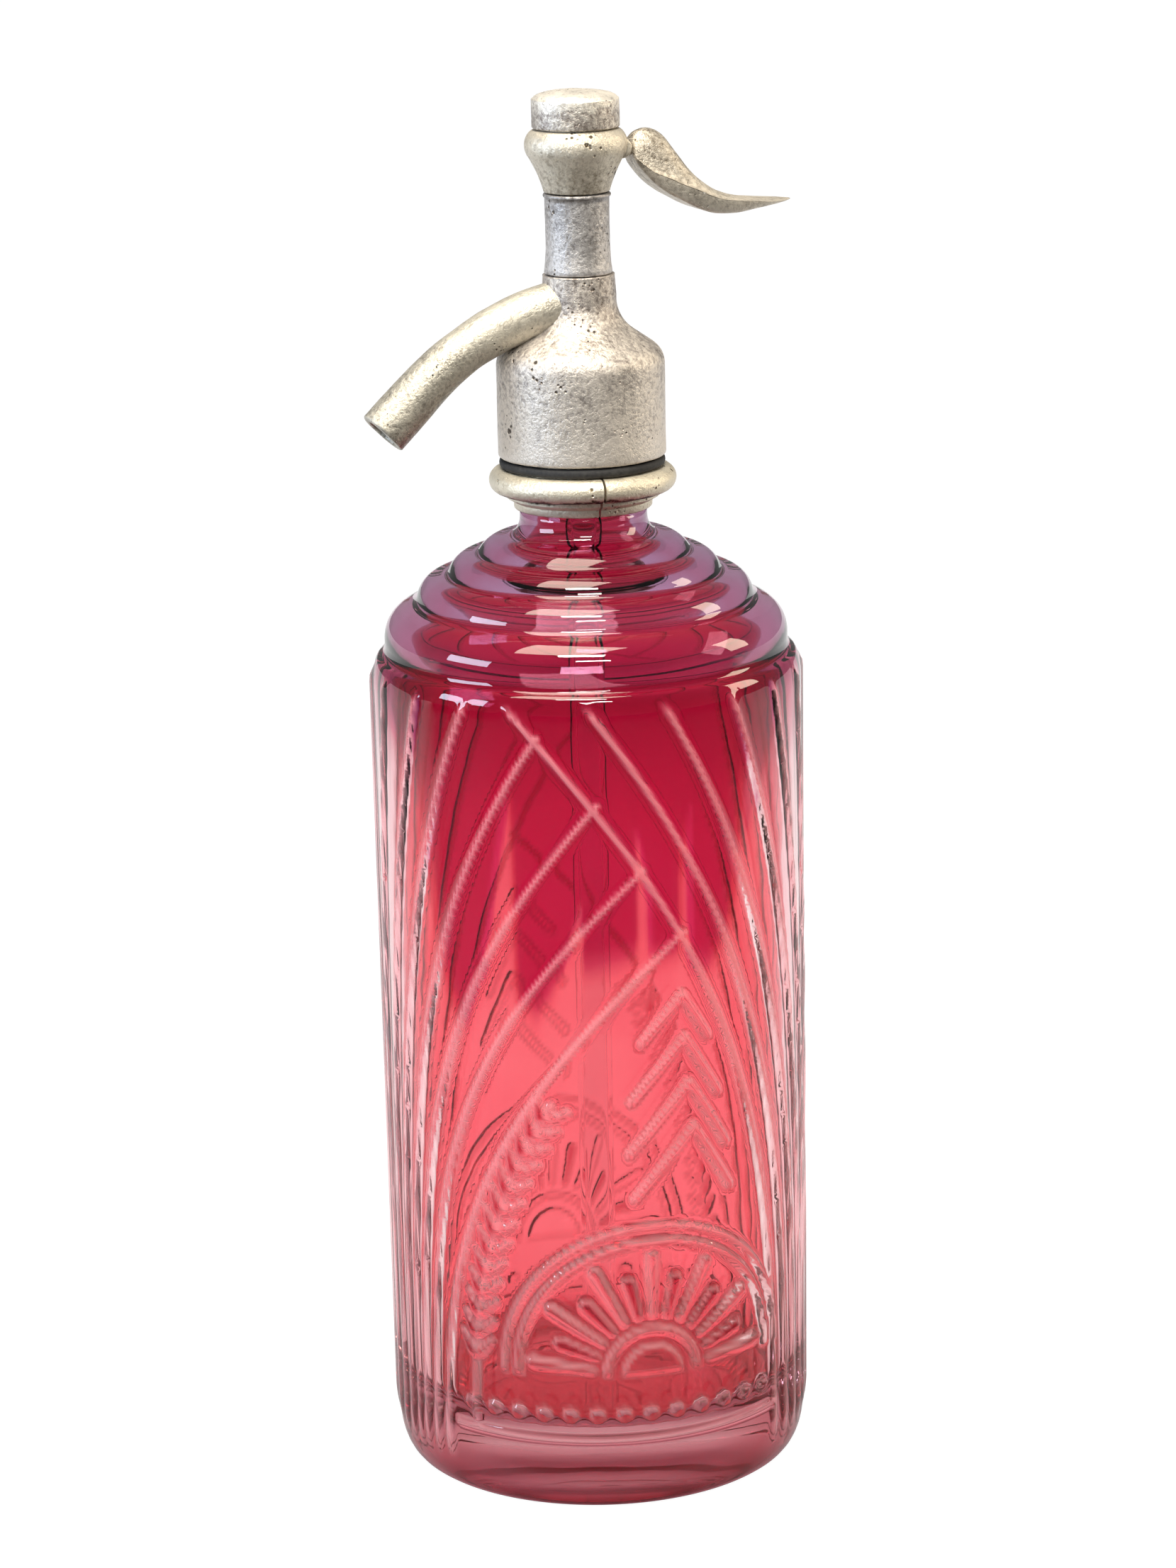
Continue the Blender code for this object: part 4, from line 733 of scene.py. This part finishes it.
def spout_place(x):
    """A point of the spout's middle line at a distance x from the axis, and its slope."""
    along = x - SPOUT_ROOT_X
    bend_x = SPOUT_BEND_R * (math.sin(SPOUT_END) - math.sin(SPOUT_START))
    slope = math.asin(math.sin(SPOUT_START) + min(max(along, 0), bend_x) / SPOUT_BEND_R)
    drop = min(along, 0) * math.tan(SPOUT_START)
    drop += SPOUT_BEND_R * (math.cos(SPOUT_START) - math.cos(slope))
    drop += max(0, along - bend_x) * math.tan(SPOUT_END)
    return Vector((-x, 0, SPOUT_Z - drop)), slope


def spout_casting():
    """A straight turned tube whose rows are then set along the middle line."""
    end_x = SPOUT_REACH - SPOUT_R * 1.02 * math.sin(SPOUT_END)
    outer = []
    for i in range(SPOUT_ROWS + 1):
        share = i / SPOUT_ROWS
        outer.append((SPOUT_R * float(np.interp(share, *zip(*SPOUT_SWELLS))), share))
    lip_r = outer[-1][0]
    profile = [(0, 0)] + outer[:-1] + [(lip_r, 0.994), (lip_r - 0.15, 0.998), (lip_r - 0.4, 1.0)]
    profile += [(SPOUT_BORE_R + 0.3, 1.0), (SPOUT_BORE_R, 0.995)]
    profile += [(SPOUT_BORE_R, 0.995 - 0.04 * i) for i in range(1, 16)] + [(0, 0.39)]
    tube = turned_piece("spout_casting", [(r, z / MM) for r, z in profile], 64)
    for vertex in tube.data.vertices:
        share = vertex.co.z
        place, slope = spout_place(SPOUT_FIRST_X + (end_x - SPOUT_FIRST_X) * share)
        side = Vector((-math.sin(slope), 0, math.cos(slope)))
        vertex.co = place * MM + side * vertex.co.x + Vector((0, 1, 0)) * vertex.co.y
    shape = bmesh.new()
    shape.from_mesh(tube.data)
    bmesh.ops.recalc_face_normals(shape, faces=shape.faces)
    shape.to_mesh(tube.data)
    shape.free()
    tube.data.set_sharp_from_angle(angle=math.radians(60))
    return tube


spout = spout_casting()
cast_unevenness(spout, 0.1, 8.0)
spout_tones = (0.17, 0.15, 0.12), (0.36, 0.33, 0.275), (0.6, 0.56, 0.47)
spout_pewter = pewter("spout_pewter", spout_tones, 0.23, 0.28, 0.4)
spout.data.materials.append(spout_pewter)
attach(spout, "siphon")
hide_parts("spout")


# The column sleeve
# A plain pewter tube, slightly waisted, between the seam over the valve and the lever's housing.
SLEEVE_Z = 274.9
SLEEVE_HEIGHT = 17.7
SLEEVE_TOP_Z = SLEEVE_Z + SLEEVE_HEIGHT
SLEEVE_BORE_R = 5.9
SLEEVE_BEAD = 0.45
sleeve_profile = [(SLEEVE_BORE_R, SLEEVE_Z), (SLEEVE_BORE_R, SLEEVE_TOP_Z), (7.0, SLEEVE_TOP_Z)]
sleeve_profile += arc_points(7.1, SLEEVE_TOP_Z - SLEEVE_BEAD, SLEEVE_BEAD, SLEEVE_BEAD, 90, -60, 5)
for i in range(16, -1, -1):
    along = i / 17
    share = float(np.interp(along, (0, 0.12, 0.3, 0.6, 1), (0, 0.5, 0.9, 1, 0.8)))
    sleeve_profile.append((7.6 - 0.5 * share, SLEEVE_Z + SLEEVE_HEIGHT * along + 0.25))
sleeve_profile += [(7.45, SLEEVE_Z), (SLEEVE_BORE_R, SLEEVE_Z)]
sleeve = turned_piece("column_sleeve_tube", sleeve_profile, 128)
cast_unevenness(sleeve, 0.07, 5.0)
sleeve_tones = (0.17, 0.155, 0.145), (0.34, 0.32, 0.31), (0.6, 0.575, 0.56)
sleeve_pewter = pewter("sleeve_pewter", sleeve_tones, 0.2935, 0.26, 0.4)
sleeve.data.materials.append(sleeve_pewter)
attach(sleeve, "siphon")
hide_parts("column_sleeve")


# The lever's housing
# A flared pewter cup with a round band. Two cheeks on its right hold the hinge pin, and a slot between them
# lets the lever's finger in to the valve.
HOUSING_Z = 292.9
PIVOT = Vector((9.6, 0, 302.1))
EAR_R = 2.3
EAR_WIDTH = 7.6
SLOT_WIDTH = 4.4


def housing_profile():
    points = [(6.6, 3.0), (6.6, 18.4), (8.3, 18.4), (8.3, 13.8), (8.9, 13.8)]
    points += arc_points(8.7, 10.3, 2.7, 3.5, 84, -45, 18)
    points += [(7.35 + 2.95 * (i / 12) ** 1.3, 7.3 * i / 12) for i in range(12, 0, -1)]
    points += [(7.35, 0.15), (7.2, 0), (5.6, 0), (2.6, 0), (2.6, 3.0), (6.6, 3.0)]
    return [(r, HOUSING_Z + z) for r, z in points]


def cut_away(piece, low, high):
    """Cuts a square slot out of a casting."""
    shape = bmesh.new()
    bmesh.ops.create_cube(shape, size=1.0)
    for vertex in shape.verts:
        vertex.co = Vector([(low[i] + (high[i] - low[i]) * (vertex.co[i] + 0.5)) * MM for i in range(3)])
    block = finished_piece("slot_block", shape)
    cut = piece.modifiers.new("slot", "BOOLEAN")
    cut.operation = "DIFFERENCE"
    cut.object = block
    bpy.context.view_layer.update()
    graph = bpy.context.evaluated_depsgraph_get()
    finished = bpy.data.meshes.new_from_object(piece.evaluated_get(graph))
    piece.modifiers.clear()
    piece.data = finished
    bpy.data.objects.remove(block)


def plate_across_pivot(name, outline, first_y, second_y, soft_sides, soft, steps):
    """A flat plate from its side outline round the pivot, between two places across it, with the rims of its
    soft sides rounded off."""
    shape = bmesh.new()
    corners = [((PIVOT.x + x) * MM, first_y * MM, (PIVOT.z + z) * MM) for x, z in outline]
    face = shape.faces.new([shape.verts.new(corner) for corner in corners])
    grown = bmesh.ops.extrude_face_region(shape, geom=[face])["geom"]
    moved = [v for v in grown if isinstance(v, bmesh.types.BMVert)]
    bmesh.ops.translate(shape, verts=moved, vec=(0, (second_y - first_y) * MM, 0))
    bmesh.ops.recalc_face_normals(shape, faces=shape.faces)
    rim = [
        e for e in shape.edges
        if any(all(abs(v.co.y - y * MM) < 1e-6 for v in e.verts) for y in soft_sides)
    ]
    bmesh.ops.bevel(
        shape, geom=rim, offset=soft * MM, segments=steps, profile=0.5, affect="EDGES", material=-1
    )
    return finished_piece(name, shape, 50)


ear_outline = [(-3.0, EAR_R), (0, EAR_R)] + arc_points(0, 0, EAR_R, EAR_R, 80, -80, 14)
ear_outline += [(0, -EAR_R), (-3.0, -EAR_R)]
housing_tones = (0.2, 0.16, 0.11), (0.42, 0.37, 0.295), (0.7, 0.64, 0.53)
housing_pewter = pewter("housing_pewter", housing_tones, 0.29, 0.306, 0.55)
housing = turned_piece("lever_housing_casting", housing_profile(), 128)
cast_unevenness(housing, 0.09, 5.0)
slot_half = EAR_R + 0.2
cut_away(
    housing, (5.0, -SLOT_WIDTH / 2, PIVOT.z - slot_half), (14.0, SLOT_WIDTH / 2, PIVOT.z + slot_half)
)
housing.data.shade_smooth()
housing.data.set_sharp_from_angle(angle=math.radians(50))
housing.data.materials.clear()
housing.data.materials.append(housing_pewter)
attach(housing, "siphon")
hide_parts("lever_housing")
for name, side in (("ear_near", -1), ("ear_far", 1)):
    inner_y, outer_y = side * SLOT_WIDTH / 2, side * EAR_WIDTH / 2
    cheek = plate_across_pivot(f"lever_{name}_cheek", ear_outline, inner_y, outer_y, [outer_y], 0.5, 4)
    cheek.data.materials.append(housing_pewter)
    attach(cheek, "siphon")

pin_half = EAR_WIDTH / 2 - 0.3
pin_profile = [(0, -pin_half - 0.25), (0.5, -pin_half - 0.2), (0.85, -pin_half), (0.9, -pin_half + 0.2)]
pin_profile += [(r, -z) for r, z in reversed(pin_profile)]
lever_pin = turned_piece("lever_hinge_pin", pin_profile, 32)
lever_pin.data.transform(Matrix.Translation(PIVOT * MM) @ Matrix.Rotation(math.pi / 2, 4, "X"))
lever_pin.data.materials.append(steel)
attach(lever_pin, "siphon")
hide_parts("lever_pin")


# The lever
# One pewter casting: a finger that reaches through the slot to the valve, a round knuckle on the pin, and a
# shank that arches over and spreads into a thin duck tail with a turned-out edge.
LEVER_DEPTH = 15.7
LEVER_HALF_WIDTH = 7.0
LEVER_ROWS = 110
SHANK_X = 2.7
KNUCKLE_R = 2.05
FINGER_TIP_R = 1.6
FINGER_WIDTH = 3.6
# Along the shank, then floor, edge and crown over the lever's depth, and the half width over the widest
LEVER_STATIONS = (
    (0, -0.127, -0.097, 0.108, 0.47),
    (0.034, -0.283, -0.205, 0.198, 0.6),
    (0.11, -0.497, -0.351, 0.242, 0.74),
    (0.196, -0.663, -0.448, 0.153, 0.83),
    (0.28, -0.78, -0.546, -0.108, 0.9),
    (0.359, -0.885, -0.625, -0.357, 0.957),
    (0.437, -0.96, -0.716, -0.542, 0.986),
    (0.516, -0.992, -0.78, -0.675, 1),
    (0.62, -0.994, -0.819, -0.771, 1),
    (0.725, -0.965, -0.846, -0.828, 0.93),
    (0.83, -0.931, -0.869, -0.857, 0.786),
    (0.935, -0.903, -0.879, -0.872, 0.514),
    (1, -0.892, -0.885, -0.882, 0.143),
)


def lever_shank():
    """A turned blank whose rows are pushed into the lever's sections, station by station."""
    table = np.array(smooth_through(LEVER_STATIONS, 8))
    profile = [(0, 0)] + [(1 / MM, i / LEVER_ROWS / MM) for i in range(LEVER_ROWS + 1)] + [(0, 1 / MM)]
    shank = turned_piece("lever_shank_casting", profile, 72)
    length = SPOUT_REACH - PIVOT.x - SHANK_X
    for vertex in shank.data.vertices:
        along = min(max(vertex.co.z, 0), 1)
        floor, edge, crown, half = (float(np.interp(along, table[:, 0], table[:, i])) for i in range(1, 5))
        a = math.atan2(vertex.co.y, vertex.co.x)
        out = min(math.hypot(vertex.co.x, vertex.co.y), 1)
        half *= LEVER_HALF_WIDTH
        across, up = math.cos(a), math.sin(a)
        lip = 0.3 + 0.7 * min(along / 0.2, 1)
        if up >= 0:
            y = half * across * (1 - 0.14 * lip * min(up / 0.25, 1))
            z = edge + (crown - edge) * max(0, up - 0.12 * lip) / (1 - 0.12 * lip)
        else:
            y = half * across
            z = edge + (floor - edge) * min(1, -up * 1.9)
        middle = (floor + crown) / 2
        z = middle + (z - middle) * out
        vertex.co = Vector((PIVOT.x + SHANK_X + length * along, y * out, PIVOT.z + z * LEVER_DEPTH)) * MM
    shape = bmesh.new()
    shape.from_mesh(shank.data)
    bmesh.ops.recalc_face_normals(shape, faces=shape.faces)
    bmesh.ops.smooth_vert(
        shape, verts=shape.verts, factor=0.5, use_axis_x=False, use_axis_y=True, use_axis_z=True
    )
    shape.to_mesh(shank.data)
    shape.free()
    return shank


def finger_outline():
    """The flat finger, knuckle and neck seen from the side."""
    outline = arc_points(0, 0, KNUCKLE_R, KNUCKLE_R, 60, 120, 5) + [(-5.2, 1.2)]
    outline += arc_points(-PIVOT.x, 0, FINGER_TIP_R, FINGER_TIP_R, 41.4, 318.6, 20) + [(-5.2, -1.2)]
    return outline + arc_points(0, 0, KNUCKLE_R, KNUCKLE_R, 240, 300, 5) + [(5.2, -1.845), (5.2, 1.845)]


lever_tones = (0.19, 0.16, 0.12), (0.42, 0.375, 0.31), (0.7, 0.64, 0.54)
lever_pewter = pewter("lever_pewter", lever_tones, 0.3, 0.285, 0.38)
shank = lever_shank()
cast_unevenness(shank, 0.08, 6.0)
sides = (-FINGER_WIDTH / 2, FINGER_WIDTH / 2)
finger = plate_across_pivot("lever_finger_casting", finger_outline(), *sides, sides, 0.3, 3)
for piece in (shank, finger):
    piece.data.materials.append(lever_pewter)
    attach(piece, "lever")
    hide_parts("lever")


# The cap
# A pewter screw cap over the spring, with a low dome, paler on its rim and dome, part wear and part painted
# highlight.
CAP_Z = 307.0
CAP_R = 9.7
CAP_BORE_R = 8.6
CAP_CEILING = 5.6
cap_profile = [(0, CAP_Z + CAP_CEILING), (CAP_BORE_R, CAP_Z + CAP_CEILING), (CAP_BORE_R, CAP_Z), (9.3, CAP_Z)]
cap_profile += arc_points(CAP_R - 0.3, CAP_Z + 0.3, 0.3, 0.3, -90, 0, 3)
cap_profile += [(CAP_R, CAP_Z + 0.3 + 0.6 * i) for i in range(1, 10)]
cap_profile += arc_points(CAP_R - 0.35, CAP_Z + 6.1, 0.35, 0.35, 0, 80, 4)
cap_profile += arc_points(0, CAP_Z + 6.4, CAP_R - 0.4, 1.8, 12, 90, 12)
cap = turned_piece("screw_cap_casting", cap_profile, 128)
cast_unevenness(cap, 0.08, 5.0)
cap_tones = (0.22, 0.185, 0.16), (0.43, 0.385, 0.345), (0.86, 0.81, 0.72)
cap_pewter = pewter("cap_pewter", cap_tones, 0.3105, 0.3135, 0.4)
cap.data.materials.append(cap_pewter)
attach(cap, "siphon")
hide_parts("cap")


# The floor, the light and the camera
# A white sweep in soft daylight: a cool window to the left, warm ones above, in front and to the right, and
# the camera a metre away and above the siphon, looking down.
CAMERA_TURN = math.radians(-20)
CAMERA_PITCH = math.radians(14.63)
CAMERA_ROLL = math.radians(1.2)
CAMERA_DISTANCE = 1.0
CAMERA_HEIGHT = 0.419
CAMERA_SHIFT = 0.00025
CAMERA_LENS = 104.24


def add_floor():
    """A dull floor that glows white for the camera, and behind the siphon also for what is mirrored or seen
    through glass."""
    shape = bmesh.new()
    bmesh.ops.create_grid(shape, x_segments=4, y_segments=4, size=6.0)
    floor = finished_piece("white_floor", shape)
    floor.location.z = -0.0002
    material, shader, add, link = node_material("white_floor_paint")
    shader.inputs["Base Color"].default_value = (0.07, 0.07, 0.07, 1)
    shader.inputs["Roughness"].default_value = 0.7
    shader.inputs["Emission Color"].default_value = (1, 1, 1, 1)
    path = add("ShaderNodeLightPath").outputs
    place = add("ShaderNodeTexCoord").outputs["Object"]
    away = (-math.sin(CAMERA_TURN), math.cos(CAMERA_TURN), 0)
    behind = add("ShaderNodeVectorMath", {0: place, 1: away}, operation="DOT_PRODUCT").outputs["Value"]
    glow = add("ShaderNodeMath", {0: path["Is Camera Ray"], 1: 0.97}, operation="MULTIPLY").outputs[0]
    glows = ("Is Glossy Ray", -0.06, 0.0, 0.95), ("Is Transmission Ray", -0.12, 0.45, 1.0)
    for ray, near, low, high in glows:
        level = add("ShaderNodeMapRange", {
            "Value": behind, "From Min": near, "From Max": 0.1, "To Min": low, "To Max": high,
        })
        mix = add("ShaderNodeMix", {"Factor": path[ray], "A": glow, "B": level.outputs["Result"]})
        glow = mix.outputs["Result"]
    link(glow, shader.inputs["Emission Strength"])
    floor.data.materials.append(material)


def add_world():
    """White for the camera, dull for plain light and mirrors, and darker towards the camera through glass."""
    world = bpy.data.worlds.new("white_room")
    bpy.context.scene.world = world
    world.use_nodes = True
    tree = world.node_tree
    nodes, link = tree.nodes, tree.links.new
    back = nodes["Background"]
    path = nodes.new("ShaderNodeLightPath")
    towards = nodes.new("ShaderNodeVectorMath")
    towards.operation = "DOT_PRODUCT"
    place = nodes.new("ShaderNodeTexCoord")
    link(place.outputs["Generated"], towards.inputs[0])
    towards.inputs[1].default_value = (math.sin(CAMERA_TURN), -math.cos(CAMERA_TURN), -0.35)
    sided = nodes.new("ShaderNodeMapRange")
    link(towards.outputs["Value"], sided.inputs["Value"])
    sided.inputs["From Min"].default_value = -0.5
    sided.inputs["From Max"].default_value = 0.7
    sided.inputs["To Min"].default_value = 1.0
    sided.inputs["To Max"].default_value = 0.07
    mirrored = nodes.new("ShaderNodeMath")
    mirrored.operation = "MULTIPLY_ADD"
    link(sided.outputs["Result"], mirrored.inputs[0])
    mirrored.inputs[1].default_value = 0.1
    mirrored.inputs[2].default_value = 0.14
    level = 0.42
    seen_by_ray = (
        ("Is Glossy Ray", mirrored.outputs["Value"]), ("Is Transmission Ray", sided.outputs["Result"]),
        ("Is Camera Ray", 1.0),
    )
    for ray, seen in seen_by_ray:
        choice = nodes.new("ShaderNodeMix")
        choice.data_type = "FLOAT"
        link(path.outputs[ray], choice.inputs["Factor"])
        for socket, value in ((choice.inputs["A"], level), (choice.inputs["B"], seen)):
            if isinstance(value, float):
                socket.default_value = value
            else:
                link(value, socket)
        level = choice.outputs["Result"]
    link(level, back.inputs["Strength"])
    back.inputs["Color"].default_value = (1, 1, 1, 1)


def add_window(name, turn, pitch, distance, width, height, power, colour):
    """A soft window at a turn from the camera and a height angle, facing the head."""
    light = bpy.data.lights.new(name, "AREA")
    light.shape = "RECTANGLE"
    light.size, light.size_y = width, height
    light.energy = power
    light.color = colour
    lamp = bpy.data.objects.new(name, light)
    bpy.context.scene.collection.objects.link(lamp)
    a, e = CAMERA_TURN + math.radians(turn - 90), math.radians(pitch)
    away = Vector((math.cos(a) * math.cos(e), math.sin(a) * math.cos(e), math.sin(e)))
    target = Vector((0, 0, 0.2))
    lamp.location = target + away * distance
    lamp.rotation_euler = away.to_track_quat("Z", "Y").to_euler()


def add_camera():
    right = Vector((math.cos(CAMERA_TURN), math.sin(CAMERA_TURN), 0))
    back = Vector((math.sin(CAMERA_TURN), -math.cos(CAMERA_TURN), 0))
    forward = -back * math.cos(CAMERA_PITCH) - Vector((0, 0, math.sin(CAMERA_PITCH)))
    up = right.cross(forward)
    turned_right = right * math.cos(CAMERA_ROLL) - up * math.sin(CAMERA_ROLL)
    turned_up = right * math.sin(CAMERA_ROLL) + up * math.cos(CAMERA_ROLL)
    data = bpy.data.cameras.new("photo_camera")
    data.lens = CAMERA_LENS
    data.sensor_width = 36.0
    data.clip_end = 20.0
    camera = bpy.data.objects.new("photo_camera", data)
    bpy.context.scene.collection.objects.link(camera)
    axes = Matrix((turned_right, turned_up, -forward)).transposed().to_4x4()
    spot = back * CAMERA_DISTANCE + Vector((0, 0, CAMERA_HEIGHT)) - right * CAMERA_SHIFT
    camera.matrix_world = Matrix.Translation(spot) @ axes
    bpy.context.scene.camera = camera


add_floor()
add_world()
add_window("left_window", -70, 14, 1.0, 0.5, 0.26, 6.0, (0.68, 0.81, 1.0))
add_window("top_window", -30, 74, 1.0, 0.6, 0.6, 12.0, (1.0, 0.9, 0.74))
add_window("high_front_window", -4, 56, 1.2, 0.45, 0.16, 8.0, (1.0, 0.97, 0.9))
add_window("low_front_window", 4, 38, 1.3, 0.4, 0.09, 4.5, (1.0, 0.97, 0.9))
add_window("right_window", 96, 22, 1.1, 0.3, 0.5, 4.5, (1.0, 0.86, 0.66))
add_camera()
bpy.context.scene.view_settings.view_transform = "Standard"
